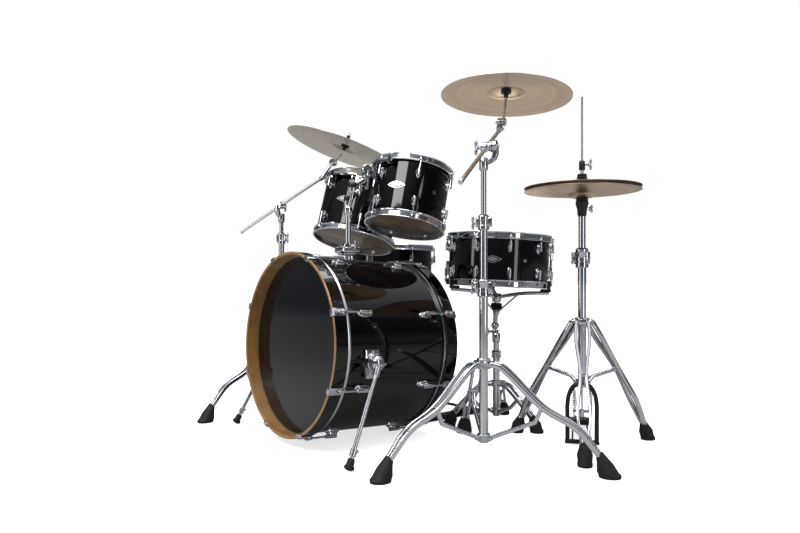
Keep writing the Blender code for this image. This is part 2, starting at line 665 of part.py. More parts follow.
def boom_arm(tail, pivot, tip, axle, tilter, tilt_axle):
    """The boom rod through its barrel, with the toothed end that holds the cymbal tilter."""
    line = (tip - pivot).normalized()
    neck = tilter - tilt_axle * (GAP + 0.0062)
    return fuse(rod(tail, tip, 0.0055),
                rod(tail - line * 0.004, tail + line * 0.012, 0.0070),
                rod(pivot - axle * BARREL_HALF, pivot + axle * BARREL_HALF, 0.0110, sides=12),
                rod(pivot - line * 0.016, pivot + line * 0.016, 0.0090),
                rod(pivot - axle * (BARREL_HALF - 0.002), pivot - axle * (BARREL_HALF + 0.014), 0.0045,
                    sides=8),
                rod(pivot - axle * (BARREL_HALF + 0.012) - Z_AXIS * 0.013,
                    pivot - axle * (BARREL_HALF + 0.012) + Z_AXIS * 0.013, 0.0050, sides=8),
                rod(tip - line * 0.016, tip + line * 0.004, 0.0085),
                bar([tip - tilt_axle * 0.0065, neck], 0.0055),
                rod(tilter - tilt_axle * GAP, tilter - tilt_axle * 0.012, 0.0130, sides=12))


def cymbal_tilter(pivot, tilt_axle, cymbal):
    """Toothed disc, curved post, cup with its sleeve, and the wing nut over the cymbal."""
    up = cymbal["axis"].normalized()
    centre, rise = cymbal["centre"], cymbal["rise"]
    seat = centre + up * (rise - CYMBAL_THICKNESS - 2 * GAP - 0.0018)
    side = pivot + tilt_axle * (GAP + 0.0045)
    low = seat - up * 0.040
    return fuse(rod(pivot + tilt_axle * GAP, pivot + tilt_axle * 0.009, 0.0130, sides=12),
                bar([side, side.lerp(low, 0.5) + up * 0.004, low, seat + up * 0.030], 0.0042),
                rod(seat - up * 0.022, seat - up * 0.012, 0.0065, sides=12),
                rod(seat - up * 0.014, seat, 0.0155, sides=12),
                rod(seat + up * 0.0080, seat + up * 0.020, 0.0140, 0.0090, sides=10),
                rod(seat + up * 0.018, seat + up * 0.026, 0.0070, sides=8),
                rod(seat + up * 0.023 - tilt_axle * 0.016, seat + up * 0.023 + tilt_axle * 0.016, 0.0030,
                    sides=8))


def cymbal_profile(cymbal, thickness=CYMBAL_THICKNESS):
    """Outer side from the hole down the bell and bow to the rim, and back underneath."""
    radius, bell, rise = cymbal["radius"], cymbal["bell"], cymbal["rise"]
    bow = rise * 0.42
    top = []
    for step in range(3):
        fraction = step / 2
        r = CYMBAL_HOLE + (bell - CYMBAL_HOLE) * fraction
        top.append((r, bow + (rise - bow) * math.cos(fraction * math.pi / 2) ** 0.8))
    for step in range(1, 3):
        fraction = step / 2
        r = bell + (radius - bell) * fraction
        top.append((r, bow * (1 - fraction ** 1.6)))
    under = [(r, z - thickness) for r, z in top]
    return top + under[::-1]


def build_cymbal(name, cymbal, place, pivot):
    part(name, turned(cymbal_profile(cymbal), CYMBAL_SIDES, place), "bronze", pivot)


def build_boom_stand(name, frame, post, first, bolt_angle, arm, cymbal):
    """One boom stand; arm gives the boom's tail, pivot and tip, and the tilter's pivot."""
    tail, pivot, tip, tilter = (Vector(point) for point in arm)
    flat = Vector((tip.x - pivot.x, tip.y - pivot.y, 0)).normalized()
    axle = flat.cross(Z_AXIS)
    tilt_axle = axle if (cymbal["centre"] - tilter).dot(axle) > 0 else -axle
    part(f"{name}_stand_base", boom_base(post, first, bolt_angle), "chrome", frame)
    middle = joint(f"joint_{name}_middle_tube", post + Z_AXIS * 0.518, frame)
    part(f"{name}_middle_tube", boom_middle(post, bolt_angle), "chrome", middle)
    top = joint(f"joint_{name}_top_tube", post + Z_AXIS * 0.699, middle)
    part(f"{name}_top_tube", boom_top(post, pivot, axle), "chrome", top)
    swing = joint(f"joint_{name}_boom_tilt", pivot, top)
    part(f"{name}_boom_arm", boom_arm(tail, pivot, tip, axle, tilter, tilt_axle), "chrome", swing)
    nod = joint(f"joint_{name}_cymbal_tilt", tilter, swing)
    part(f"{name}_cymbal_tilter", cymbal_tilter(tilter, tilt_axle, cymbal), "chrome", nod)
    spin = joint(f"joint_{name}_cymbal_spin", cymbal["centre"], nod)
    build_cymbal(f"{name}_cymbal", cymbal, standing(cymbal["centre"], cymbal["axis"]), spin)


# ---------------------------------------------------------------- hi-hat
def hihat_frame_place():
    return Matrix.Translation(HIHAT_POST) @ Matrix.Rotation(math.radians(PEDAL_AZIMUTH), 4, "Z")


def hihat_base():
    """Lower tube, legs, the pedal's arch, and the two floor rods that reach the heel plate."""
    post, place = HIHAT_POST, hihat_frame_place()
    shapes = [rod(post + Z_AXIS * 0.180, post + Z_AXIS * 0.560, LOW_TUBE, sides=TUBE_SIDES),
              *clamp_pieces(post, 0.551, 0.613, 0.0200, 180),
              *tripod_pieces(post, -51.7, 0.2407, HIHAT_LEG, HIHAT_STAY,
                             (0.372, 0.396, 0.0220), (0.180, 0.204, 0.0200), 0.020)]
    arch = [Vector((0, side, high)) for side, high in
            ((-ARCH_HALF, 0.012), (-ARCH_HALF, 0.120), (-ARCH_HALF * 0.86, 0.160), (-0.018, ARCH_TOP),
             (0.018, ARCH_TOP), (ARCH_HALF * 0.86, 0.160), (ARCH_HALF, 0.120), (ARCH_HALF, 0.012))]
    shapes.append(bar(arch, 0.0060, place))
    shapes.append(block((0.020, 2 * ARCH_HALF + 0.016, 0.010), (0, 0, 0.0085), place))
    for side in (-1, 1):
        shapes.append(bar([(0, side * 0.030, 0.009), (HIHAT_HEEL, side * 0.022, 0.009)], 0.0030, place))
    shapes.append(block((0.075, 0.078, 0.012), (HIHAT_HEEL + 0.022, 0, 0.0095), place))
    shapes.append(block((0.020, 0.020, 0.020), (HIHAT_HEEL + 0.004, -0.030, 0.018), place))
    shapes.append(block((0.020, 0.020, 0.020), (HIHAT_HEEL + 0.004, 0.030, 0.018), place))
    return carve(fuse(*shapes), tube_bore(post, 0.15, 0.63, LOW_BORE))


def sloping_board(length, toe_rise, width, thickness, place):
    """A footboard from its heel pin at the origin to its toe at +X, narrower at the heel."""
    half, low = width / 2, thickness
    heel = [(0.002, side * half * 0.50, z) for side in (-1, 1) for z in (-low, 0)]
    waist = [(length * 0.45, side * half, toe_rise * 0.45 + z) for side in (-1, 1) for z in (-low, 0)]
    toe = [(length, side * half * 0.80, toe_rise + z) for side in (-1, 1) for z in (-low, 0)]
    return fuse(hull(heel + waist, place), hull(waist + toe, place),
                rod((0, -half * 0.5, -0.002), (0, half * 0.5, -0.002), 0.0060, sides=10, place=place))


def build_hihat(frame):
    post, place = HIHAT_POST, hihat_frame_place()
    part("hihat_stand_base", hihat_base(), "chrome", frame)
    heel = place @ Vector((HIHAT_HEEL, 0, 0.030))
    tread = joint("joint_hihat_footboard", heel, frame)
    toward = Matrix.Translation(heel) @ Matrix.Rotation(math.radians(PEDAL_AZIMUTH + 180), 4, "Z")
    board = sloping_board(HIHAT_HEEL + 0.014, 0.050, 0.074, 0.007, toward)
    part("hihat_footboard", board, "black_steel", tread)

    rod_joint = joint("joint_hihat_pull_rod", post + Z_AXIS * 0.10, frame)
    pull = fuse(rod(post + Z_AXIS * 0.100, post + Z_AXIS * 1.085, 0.0030, sides=10),
                rod(post + Z_AXIS * 0.087, post + Z_AXIS * 0.110, 0.0080, sides=10))
    part("hihat_pull_rod", pull, "chrome", rod_joint)

    tube_joint = joint("joint_hihat_top_tube", post + Z_AXIS * 0.613, frame)
    low_rim, high_rim = HIHAT_RIMS
    seat = low_rim - HIHAT["rise"] - 2 * GAP
    tube = fuse(rod(post + Z_AXIS * 0.430, post + Z_AXIS * (seat - 0.030), MID_TUBE, sides=TUBE_SIDES),
                rod(post + Z_AXIS * (seat - 0.052), post + Z_AXIS * (seat - 0.012), 0.0130, 0.0190,
                    sides=12),
                rod(post + Z_AXIS * (seat - 0.013), post + Z_AXIS * seat, 0.0190, sides=12))
    part("hihat_top_tube", carve(tube, tube_bore(post, 0.42, 0.80, 0.0045)), "chrome", tube_joint)
    upside_down = Matrix.Translation(post + Z_AXIS * low_rim) @ Matrix.Rotation(math.pi, 4, "X")
    build_cymbal("hihat_bottom_cymbal", HIHAT, upside_down, tube_joint)

    clutch_joint = joint("joint_hihat_clutch", post + Z_AXIS * 0.85, rod_joint)
    top = high_rim + HIHAT["rise"]
    clutch = fuse(rod(post + Z_AXIS * (top - 0.012), post + Z_AXIS * (top + 0.062), 0.0052, sides=12),
                  rod(post + Z_AXIS * (top - 0.014), post + Z_AXIS * (top - CYMBAL_THICKNESS - 0.0018),
                      0.0110, sides=12),
                  rod(post + Z_AXIS * (top + 2 * GAP), post + Z_AXIS * (top + 0.018), 0.0140, sides=12),
                  rod(post + Z_AXIS * (top + 0.030), post + Z_AXIS * (top + 0.058), 0.0090),
                  *wing_bolt(post, top + 0.048, 40, 0.0090))
    part("hihat_clutch", carve(clutch, tube_bore(post, 0.79, 0.92, 0.0033)), "chrome", clutch_joint)
    build_cymbal("hihat_top_cymbal", HIHAT, Matrix.Translation(post + Z_AXIS * high_rim), clutch_joint)


# ---------------------------------------------------------------- snare drum and its stand
def snare_stand_base():
    post = SNARE_POST
    shapes = [rod(post + Z_AXIS * 0.034, post + Z_AXIS * 0.242, LOW_TUBE, sides=TUBE_SIDES),
              *clamp_pieces(post, 0.236, 0.262, 0.0185, -30),
              *tripod_pieces(post, 4, 0.175, SNARE_LEG, SNARE_STAY,
                             (0.134, 0.156, 0.0200), (0.038, 0.058, 0.0185), 0.020)]
    return carve(fuse(*shapes), tube_bore(post, 0.02, 0.27, LOW_BORE))


def snare_top_tube():
    """Sliding tube with the socket that the basket's ball is clamped in."""
    post = SNARE_POST
    socket = SNARE_BALL - Z_AXIS * 0.0185
    return fuse(rod(post + Z_AXIS * 0.110, post + Z_AXIS * 0.300, MID_TUBE, sides=TUBE_SIDES),
                rod(post + Z_AXIS * 0.292, post + Z_AXIS * 0.322, 0.0145, sides=12),
                bar([post + Z_AXIS * 0.308, socket - Z_AXIS * 0.008], 0.0085),
                rod(socket - Z_AXIS * 0.012, socket + Z_AXIS * 0.0035, 0.0120, sides=12))


def snare_basket():
    """Three arms with rubber grips round the lower rim, on a stem with a ball foot."""
    place = standing(SNARE["centre"], SNARE["axis"])
    rim_low = -(SNARE["depth"] / 2 + HOOP_RISE)
    rim_out = SNARE["radius"] + HOOP_OUT
    local_ball = place.inverted() @ SNARE_BALL
    shapes = [ball(local_ball, 0.0145),
              bar([local_ball, Vector((0, 0, -HUB_DROP))], 0.0090),
              rod((0, 0, -HUB_DROP - 0.020), (0, 0, -HUB_DROP + 0.012), 0.0165, sides=12)]
    for angle in SNARE_ARMS:
        turn = Matrix.Rotation(math.radians(angle), 4, "Z")
        end = Vector((rim_out + 0.010, 0, rim_low - 0.012))
        shapes.append(bar([(0.010, 0, -HUB_DROP), end], 0.0055, turn))
        shapes.append(bar([(0, 0, -HUB_DROP - 0.060), (end.x * 0.42, 0, -HUB_DROP + 0.010)], 0.0042, turn))
        shapes.append(block((0.034, 0.016, 0.012), (rim_out - 0.003, 0, rim_low - GAP - 0.0062), turn))
        shapes.append(block((0.008, 0.016, 0.042), (rim_out + 2 * GAP + 0.0040, 0, rim_low + 0.009), turn))
    shapes.append(rod((0, 0, -HUB_DROP - 0.066), (0, 0, -HUB_DROP - 0.052), 0.0120, sides=12))
    return placed(fuse(*shapes), place)


def build_snare(frame):
    drum = SNARE
    drum.update(sides=DRUM_SIDES, lug_inset=0.040)
    part("snare_stand_base", snare_stand_base(), "chrome", frame)
    slide = joint("joint_snare_top_tube", SNARE_POST + Z_AXIS * 0.262, frame)
    part("snare_top_tube", snare_top_tube(), "chrome", slide)
    tilt = joint("joint_snare_tilt", SNARE_BALL, slide)
    part("snare_basket", snare_basket(), "chrome", tilt)
    turn = Matrix.Rotation(math.radians(STRAINER_ANGLE), 4, "Z")
    radius = drum["radius"]
    strainer = fuse(block((0.014, 0.030, 0.070), (radius + 0.004, 0, 0.000), turn),
                    block((0.012, 0.006, 0.020), (radius + 0.014, -0.011, 0.020), turn),
                    block((0.012, 0.006, 0.020), (radius + 0.014, 0.011, 0.020), turn))
    place = build_drum("snare", drum, tilt, [strainer])

    hinge_local = turn @ Vector((radius + 0.0155, 0, 0.022))
    lever_joint = joint("joint_snare_throw_off", place @ hinge_local, tilt)
    lever = fuse(rod((radius + 0.0155, -0.0075, 0.022), (radius + 0.0155, 0.0075, 0.022), 0.0040, sides=10,
                     place=turn),
                 block((0.004, 0.012, 0.058), (radius + 0.0175, 0, -0.008), turn))
    part("snare_throw_off_lever", placed(lever, place), "chrome", lever_joint)

    wires_joint = joint("joint_snare_wires", place @ Vector((0, 0, -drum["depth"] / 2)), tilt)
    under = -(drum["depth"] / 2 + GAP + HEAD_FILM + GAP)
    across = Matrix.Rotation(math.radians(STRAINER_ANGLE), 4, "Z")
    wires = fuse(block((0.250, 0.042, 0.0018), (0, 0, under - 0.0009), across),
                 block((0.014, 0.050, 0.0030), (-0.125, 0, under - 0.0015), across),
                 block((0.014, 0.050, 0.0030), (0.125, 0, under - 0.0015), across))
    part("snare_wires", placed(wires, place), "snare_wire", wires_joint)


# ---------------------------------------------------------------- bass drum pedal
def build_pedal(frame):
    posts = []
    for side in (-1, 1):
        x = side * PEDAL_HALF
        posts.append(bar([(x, PEDAL_AXLE.y, 0.004), (x, PEDAL_AXLE.y, PEDAL_AXLE.z)], 0.0075))
        posts.append(rod((x - 0.006, PEDAL_AXLE.y, PEDAL_AXLE.z), (x + 0.006, PEDAL_AXLE.y, PEDAL_AXLE.z),
                         0.0130, sides=12))
    bores = rod((-0.1, PEDAL_AXLE.y, PEDAL_AXLE.z), (0.1, PEDAL_AXLE.y, PEDAL_AXLE.z), 0.0058, sides=12)
    heel_cheeks = [block((0.010, 0.024, 0.034), (side * 0.026, PEDAL_HEEL.y, 0.018)) for side in (-1, 1)]
    plate_length = PEDAL_HEEL.y + 0.055 - 0.236
    base = fuse(block((0.084, plate_length, 0.006), (0, 0.236 + plate_length / 2, 0.0032)),
                block((0.112, 0.030, 0.010), (0, PEDAL_AXLE.y, 0.0056)),
                block((0.060, 0.046, 0.008), (0, PEDAL_HEEL.y + 0.030, 0.010)),
                block((0.036, 0.012, 0.036), (0, 0.2415, 0.018)),
                block((0.036, 0.050, 0.007), (0, 0.2225, 0.033)), *posts, *heel_cheeks)
    part("pedal_frame", carve(base, bores), "black_steel", frame)

    tread = joint("joint_pedal_footboard", PEDAL_HEEL, frame)
    toward = Matrix.Translation(PEDAL_HEEL) @ Matrix.Rotation(-math.pi / 2, 4, "Z")
    board = sloping_board(0.232, 0.058, 0.076, 0.007, toward)
    part("pedal_footboard", board, "black_steel", tread)

    axle = joint("joint_pedal_beater", PEDAL_AXLE, frame)
    lean = math.radians(BEATER_REST)
    tip = PEDAL_AXLE + Vector((0, math.sin(lean), math.cos(lean))) * BEATER_REACH
    face = Vector((0, -math.cos(lean), math.sin(lean)))
    beater = fuse(rod((-0.056, PEDAL_AXLE.y, PEDAL_AXLE.z), (0.056, PEDAL_AXLE.y, PEDAL_AXLE.z), 0.0054,
                      sides=12),
                  rod((-0.010, PEDAL_AXLE.y, PEDAL_AXLE.z), (0.010, PEDAL_AXLE.y, PEDAL_AXLE.z), 0.0240,
                      sides=24),
                  rod(PEDAL_AXLE, tip + (tip - PEDAL_AXLE).normalized() * 0.018, 0.0040, sides=10),
                  rod(tip - face * 0.016, tip + face * 0.022, 0.0210, sides=12))
    part("pedal_beater", beater, "chrome", axle)


# ---------------------------------------------------------------- the whole kit
def clear_scene():
    for item in list(bpy.data.objects):
        bpy.data.objects.remove(item)


def centre_on_floor(frame):
    """Moves the frame so that the kit's footprint is centred on the origin."""
    bpy.context.view_layer.update()
    corners = [piece.matrix_world @ Vector(corner) for piece in KIT.objects if piece.type == "MESH"
               for corner in piece.bound_box]
    low = [min(corner[axis] for corner in corners) for axis in range(3)]
    high = [max(corner[axis] for corner in corners) for axis in range(3)]
    frame.location = (-(low[0] + high[0]) / 2, -(low[1] + high[1]) / 2, -low[2])
    bpy.context.view_layer.update()


def main():
    clear_scene()
    bpy.context.scene.collection.children.link(KIT)
    bpy.context.scene.collection.children.link(SHOP)
    frame = joint("kit_frame", (0, 0, 0))
    build_bass_drum(frame)
    build_toms(frame)
    build_floor_tom(frame)
    build_snare(frame)
    build_boom_stand("crash", frame, CRASH_POST, -94.3, 205, CRASH_ARM, CRASH)
    build_boom_stand("ride", frame, RIDE_POST, -79.0, 20, RIDE_ARM, RIDE)
    build_hihat(frame)
    build_pedal(frame)
    centre_on_floor(frame)


main()
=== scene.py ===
import json
import math

import bmesh
import bpy
from mathutils import Matrix, Vector


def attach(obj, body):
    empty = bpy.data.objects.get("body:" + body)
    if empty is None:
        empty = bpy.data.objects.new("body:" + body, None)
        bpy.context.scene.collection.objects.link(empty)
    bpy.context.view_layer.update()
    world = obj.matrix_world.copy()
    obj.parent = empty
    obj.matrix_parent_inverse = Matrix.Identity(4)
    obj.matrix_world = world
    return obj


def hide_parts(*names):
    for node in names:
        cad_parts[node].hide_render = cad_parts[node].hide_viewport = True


# An acoustic drum kit in gloss black lacquer with chrome hardware. Metres, +Z up, the audience at -Y.

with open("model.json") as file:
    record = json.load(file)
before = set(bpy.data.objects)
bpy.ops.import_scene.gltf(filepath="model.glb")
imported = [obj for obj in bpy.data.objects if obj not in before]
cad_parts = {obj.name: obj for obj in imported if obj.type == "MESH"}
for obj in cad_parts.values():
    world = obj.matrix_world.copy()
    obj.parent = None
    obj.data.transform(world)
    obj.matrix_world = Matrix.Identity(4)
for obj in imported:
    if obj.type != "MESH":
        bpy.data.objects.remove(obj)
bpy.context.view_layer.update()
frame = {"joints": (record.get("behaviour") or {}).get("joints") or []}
JOINTS = {joint["name"]: joint for joint in frame["joints"]}

INCH = 0.0254
HIGH_BALL = Vector((0.014, 0.010, 0.828))
LOW_BALL = Vector((-0.018, 0.012, 0.787))
SHIFT = Vector(JOINTS["high_tom_tilt"]["pos_m"]) - HIGH_BALL
IDENTITY = Matrix.Identity(4)
UP = Vector((0, 0, 1))

BASS_RADIUS, BASS_DEPTH = 11 * INCH, 0.371
BASS_HOOP_RADIUS, BASS_HOOP_WIDTH, BASS_HOOP_WALL = 0.290, 0.044, 0.0095
BASS_FRONT_LIFT, BASS_SPAN, BASS_LUGS = 0.023, 0.463, 8
BASS_LUG_MIDDLE = 0.116
BASS_ROD_OUT = 0.0175                     # the bass drum's tension rods outside its shell
SHELL_WALL = 0.007
HOOP_RISE, HOOP_SKIRT = 0.011, 0.013
HEAD_FILM, FLESH_RING, FLESH_DEPTH = 0.001, 0.0052, 0.008
ROD_OUT, ROD_RADIUS = 0.0130, 0.0024      # a tom's tension rods outside its shell
LUG_LENGTH = 0.038

HIGH_TOM = {"radius": 5 * INCH, "depth": 0.196, "lugs": 6, "first": -28.8, "inset": 0.050,
            "centre": (0.0917, 0.1899, 0.7911), "axis": (-0.06, 0.247, 0.967)}
LOW_TOM = {"radius": 6 * INCH, "depth": 9 * INCH, "lugs": 6, "first": -28.8, "inset": 0.050,
           "centre": (-0.3391, 0.2795, 0.7788), "axis": (-0.072, 0.29, 0.954)}
FLOOR_TOM = {"radius": 7 * INCH, "depth": 14 * INCH, "lugs": 6, "first": -10.0, "inset": 0.056,
             "centre": (-0.516, 0.578, 0.474), "axis": (0, 0, 1)}
SNARE = {"radius": 7 * INCH, "depth": 6.5 * INCH, "lugs": 10, "first": -34.5, "inset": 0.040,
         "centre": (0.174, 0.540, 0.5815), "axis": (0.026, 0.033, 0.999)}

CRASH_POST = Vector((0.510, 0.1256, 0))
RIDE_POST = Vector((-0.525, 0.030, 0))
HIHAT_POST = Vector((0.5707, 0.4968, 0))
SNARE_POST = Vector((0.205, 0.497, 0))
# a leg's line from its collar to its foot: distance out, height, half the space between its two straps
BOOM_LEG = [(0.026, 0.276, 0.015), (0.064, 0.263, 0.016), (0.168, 0.168, 0.012),
            (0.258, 0.121, 0.009), (0.318, 0.056, 0.006)]
BOOM_STAY = [(0.016, 0.066), (0.148, 0.124), (0.168, 0.168)]
HIHAT_LEG = [(0.026, 0.384, 0.018), (0.060, 0.330, 0.020), (0.126, 0.232, 0.009),
             (0.185, 0.130, 0.018), (0.222, 0.054, 0.007)]
HIHAT_STAY = [(0.016, 0.192), (0.040, 0.212), (0.126, 0.232)]
SNARE_LEG = [(0.024, 0.146, 0.012), (0.060, 0.136, 0.013), (0.130, 0.074, 0.009), (0.156, 0.048, 0.006)]
SNARE_STAY = [(0.016, 0.048), (0.060, 0.064), (0.098, 0.102)]
LOW_TUBE, MID_TUBE, TOP_TUBE = 0.0127, 0.0109, 0.0079
# low and high end of each stand's tubes, and low end, high end and radius of the clamps on them
BOOM_LOWER, BOOM_LOWER_CLAMP = (0.053, 0.470), (0.466, 0.518, 0.0180)
BOOM_MIDDLE, BOOM_MIDDLE_CLAMP = (0.325, 0.660), (0.656, 0.699, 0.0160)
BOOM_UPPER_FOOT = 0.565
HIHAT_LOWER, HIHAT_CLAMP, HIHAT_UPPER_FOOT = (0.182, 0.560), (0.551, 0.613, 0.0195), 0.480
HIHAT_PULL_ROD = (0.100, 1.085)
SNARE_LOWER, SNARE_CLAMP, SNARE_UPPER = (0.030, 0.242), (0.236, 0.262, 0.0180), (0.112, 0.300)
# low end, high end and radius of the two collars that each tripod's legs and stays are hinged on
BOOM_COLLARS = (0.262, 0.292, 0.0200), (0.056, 0.078, 0.0190)
HIHAT_COLLARS = (0.372, 0.396, 0.0220), (0.180, 0.204, 0.0200)
SNARE_COLLARS = (0.134, 0.156, 0.0200), (0.038, 0.058, 0.0185)
BOOM_REACH, HIHAT_REACH, SNARE_REACH = 0.3453, 0.2407, 0.175    # a leg's toe from its post
CRASH_LEGS, RIDE_LEGS, HIHAT_LEGS, SNARE_LEGS = -94.3, -79.0, -51.7, 4    # bearing of the first leg
CRASH_BOLTS, RIDE_BOLTS, HIHAT_BOLT, SNARE_BOLT = 205, 20, 180, -30       # bearing of the height clamps

CRASH = {"radius": 8 * INCH, "bell": 0.056, "rise": 0.027, "centre": Vector((0.420, 0.315, 1.087)),
         "axis": Vector((-0.013, 0.073, 0.997)).normalized()}
RIDE = {"radius": 9 * INCH, "bell": 0.062, "rise": 0.030, "centre": Vector((-0.320, 0.192, 1.017)),
        "axis": Vector((0.16, 0.291, 0.943)).normalized()}
HIHAT = {"radius": 7 * INCH, "bell": 0.055, "rise": 0.024}
HIHAT_RIMS = (0.790, 0.8015)              # bottom and top cymbal
CYMBAL_THICKNESS, CYMBAL_HOLE = 0.0014, 0.0062
# tail, pivot and tip of each boom, then the cymbal tilter's pivot
CRASH_ARM = ((0.6401, -0.0861, 0.7586), (0.5156, 0.1331, 0.8925), (0.4371, 0.2713, 0.977),
             (0.4290, 0.2860, 1.0010))
RIDE_ARM = ((-0.6936, -0.0651, 0.7069), (-0.5263, 0.0281, 0.8083), (-0.3560, 0.1232, 0.9120),
            (-0.3385, 0.1570, 0.9690))
BARREL_HALF = 0.017


# ---------------------------------------------------------------- materials
PLY_THICKNESS_MM = 1.4
BROAD_BAND_MM, HAMMER_MARK_MM = 26, 24    # the cymbals' lathe bands and hammer marks


def srgb(code):
    """A hex colour as the linear RGBA that a shader wants."""
    channels = [int(code[i:i + 2], 16) / 255 for i in (1, 3, 5)]
    return (*[c / 12.92 if c <= 0.04045 else ((c + 0.055) / 1.055) ** 2.4 for c in channels], 1.0)


def add_node(tree, kind, links=None, **settings):
    """Adds a node; settings are its attributes or input values, links its linked inputs."""
    made = tree.nodes.new(kind)
    for key, value in settings.items():
        if hasattr(made, key):
            setattr(made, key, value)
        else:
            made.inputs[key.replace("_", " ").title() if key.islower() else key].default_value = value
    for key, socket in (links or {}).items():
        tree.links.new(socket, made.inputs[key])
    return made


def new_material(name, colour, roughness, metallic=0.0, **values):
    material = bpy.data.materials.new(name)
    material.use_nodes = True
    shader = material.node_tree.nodes["Principled BSDF"]
    shader.inputs["Base Color"].default_value = srgb(colour)
    shader.inputs["Roughness"].default_value = roughness
    shader.inputs["Metallic"].default_value = metallic
    for key, value in values.items():
        shader.inputs[key.replace("_", " ")].default_value = value
    return material, material.node_tree, shader


def noise_on(tree, millimetres, detail=3.0, vector=None):
    """Noise whose spots are about that many millimetres wide."""
    if vector is None:
        vector = add_node(tree, "ShaderNodeTexCoord").outputs["Object"]
    return add_node(tree, "ShaderNodeTexNoise", {"Vector": vector}, Scale=1000 / millimetres,
                    Detail=detail).outputs["Fac"]


def spread(tree, factor, low, high):
    """A factor of 0 to 1 as a value from low to high."""
    return add_node(tree, "ShaderNodeMapRange", {"Value": factor},
                    **{"To Min": low, "To Max": high}).outputs["Result"]


def roughen(tree, shader, factor, low, high):
    tree.links.new(spread(tree, factor, low, high), shader.inputs["Roughness"])


def bump(tree, shader, height, millimetres, strength=1.0):
    made = add_node(tree, "ShaderNodeBump", {"Height": height}, Strength=strength,
                    Distance=millimetres / 1000)
    tree.links.new(made.outputs["Normal"], shader.inputs["Normal"])


def tint(tree, shader, factor, first, second, low=0.35, high=0.65):
    ramp = add_node(tree, "ShaderNodeValToRGB", {"Fac": factor})
    ramp.color_ramp.elements[0].position, ramp.color_ramp.elements[1].position = low, high
    ramp.color_ramp.elements[0].color, ramp.color_ramp.elements[1].color = srgb(first), srgb(second)
    tree.links.new(ramp.outputs["Color"], shader.inputs["Base Color"])


def polished_lacquer():
    """Buffed black polyester lacquer: a mirror with a very slight orange peel, drawn 9 mm wide."""
    made, tree, shader = new_material("black_lacquer", "#030304", 0.05, Specular_IOR_Level=0.42)
    roughen(tree, shader, noise_on(tree, 60), 0.03, 0.07)
    bump(tree, shader, noise_on(tree, 9, 1.0), 0.02)
    return made


def round_axis(tree, place):
    """Object coordinates, and each point's distance from the place's Z and its height along it."""
    where = add_node(tree, "ShaderNodeTexCoord").outputs["Object"]
    local = add_node(tree, "ShaderNodeMapping", {"Vector": where}, vector_type="TEXTURE",
                     Location=place.to_translation(), Rotation=place.to_euler()).outputs["Vector"]
    parts = add_node(tree, "ShaderNodeSeparateXYZ", {"Vector": local}).outputs
    flat = add_node(tree, "ShaderNodeCombineXYZ", {"X": parts["X"], "Y": parts["Y"]}).outputs["Vector"]
    radius = add_node(tree, "ShaderNodeVectorMath", {0: flat}, operation="LENGTH").outputs["Value"]
    return where, radius, parts["Z"]


def mean_of(tree, first, second):
    """Half the sum of two patterns."""
    both = add_node(tree, "ShaderNodeMath", {0: first, 1: second}, operation="ADD").outputs["Value"]
    half = add_node(tree, "ShaderNodeMath", {0: both}, operation="MULTIPLY")
    half.inputs[1].default_value = 0.5
    return half.outputs["Value"]


def bent_maple(name, pale, dark, place):
    """Maple ply: 1.4 mm plies seen end-on, with soft grain that runs round the bend."""
    made, tree, shader = new_material(name, pale, 0.32, Coat_Weight=0.35, Coat_Roughness=0.12)
    _, radius, height = round_axis(tree, place)
    rings = add_node(tree, "ShaderNodeCombineXYZ", {"X": radius, "Y": height}).outputs["Vector"]
    plies = noise_on(tree, PLY_THICKNESS_MM, 2.0, rings)
    tint(tree, shader, mean_of(tree, plies, noise_on(tree, 45, 4.0)), dark, pale, 0.38, 0.60)
    bump(tree, shader, plies, 0.08)
    return made


def chrome_plate():
    """Chrome over polished steel: bright and hard, with faint polishing haze every few centimetres."""
    made, tree, shader = new_material("chrome", "#CDCFD3", 0.06, 1.0)
    roughen(tree, shader, noise_on(tree, 28), 0.035, 0.11)
    return made


def cast_chrome():
    """Chrome over die-cast zinc: the same plate on a slightly rippled casting."""
    made, tree, shader = new_material("cast_chrome", "#C4C6CA", 0.10, 1.0)
    roughen(tree, shader, noise_on(tree, 12), 0.07, 0.17)
    bump(tree, shader, noise_on(tree, 7, 2.0), 0.05)
    return made


def rolled_aluminium():
    """The head's flesh ring: bright rolled aluminium with a soft grey sheen."""
    made, tree, shader = new_material("rolled_aluminium", "#C9CBCE", 0.24, 1.0)
    roughen(tree, shader, noise_on(tree, 5), 0.18, 0.30)
    return made


def black_film():
    """Ebony polyester film: flat and glossy with a soft waviness from its tension."""
    made, tree, shader = new_material("black_head_film", "#05070A", 0.10, Specular_IOR_Level=0.5)
    roughen(tree, shader, noise_on(tree, 90), 0.07, 0.12)
    bump(tree, shader, noise_on(tree, 140, 1.0), 0.30)
    return made


def coated_film():
    """Sprayed white coating on polyester: matt and slightly gritty, 1.5 mm grit."""
    made, tree, shader = new_material("coated_head_film", "#E6E5DF", 0.62)
    tint(tree, shader, noise_on(tree, 60), "#DEDDD6", "#EDECE7")
    bump(tree, shader, noise_on(tree, 1.5, 2.0), 0.05, 0.6)
    return made


def clear_film():
    """Clear polyester film: a thin bright sheet that shows the wood inside."""
    made, tree, shader = new_material("clear_head_film", "#F3EFE6", 0.08, Transmission_Weight=0.92, IOR=1.12)
    roughen(tree, shader, noise_on(tree, 70), 0.05, 0.12)
    return made


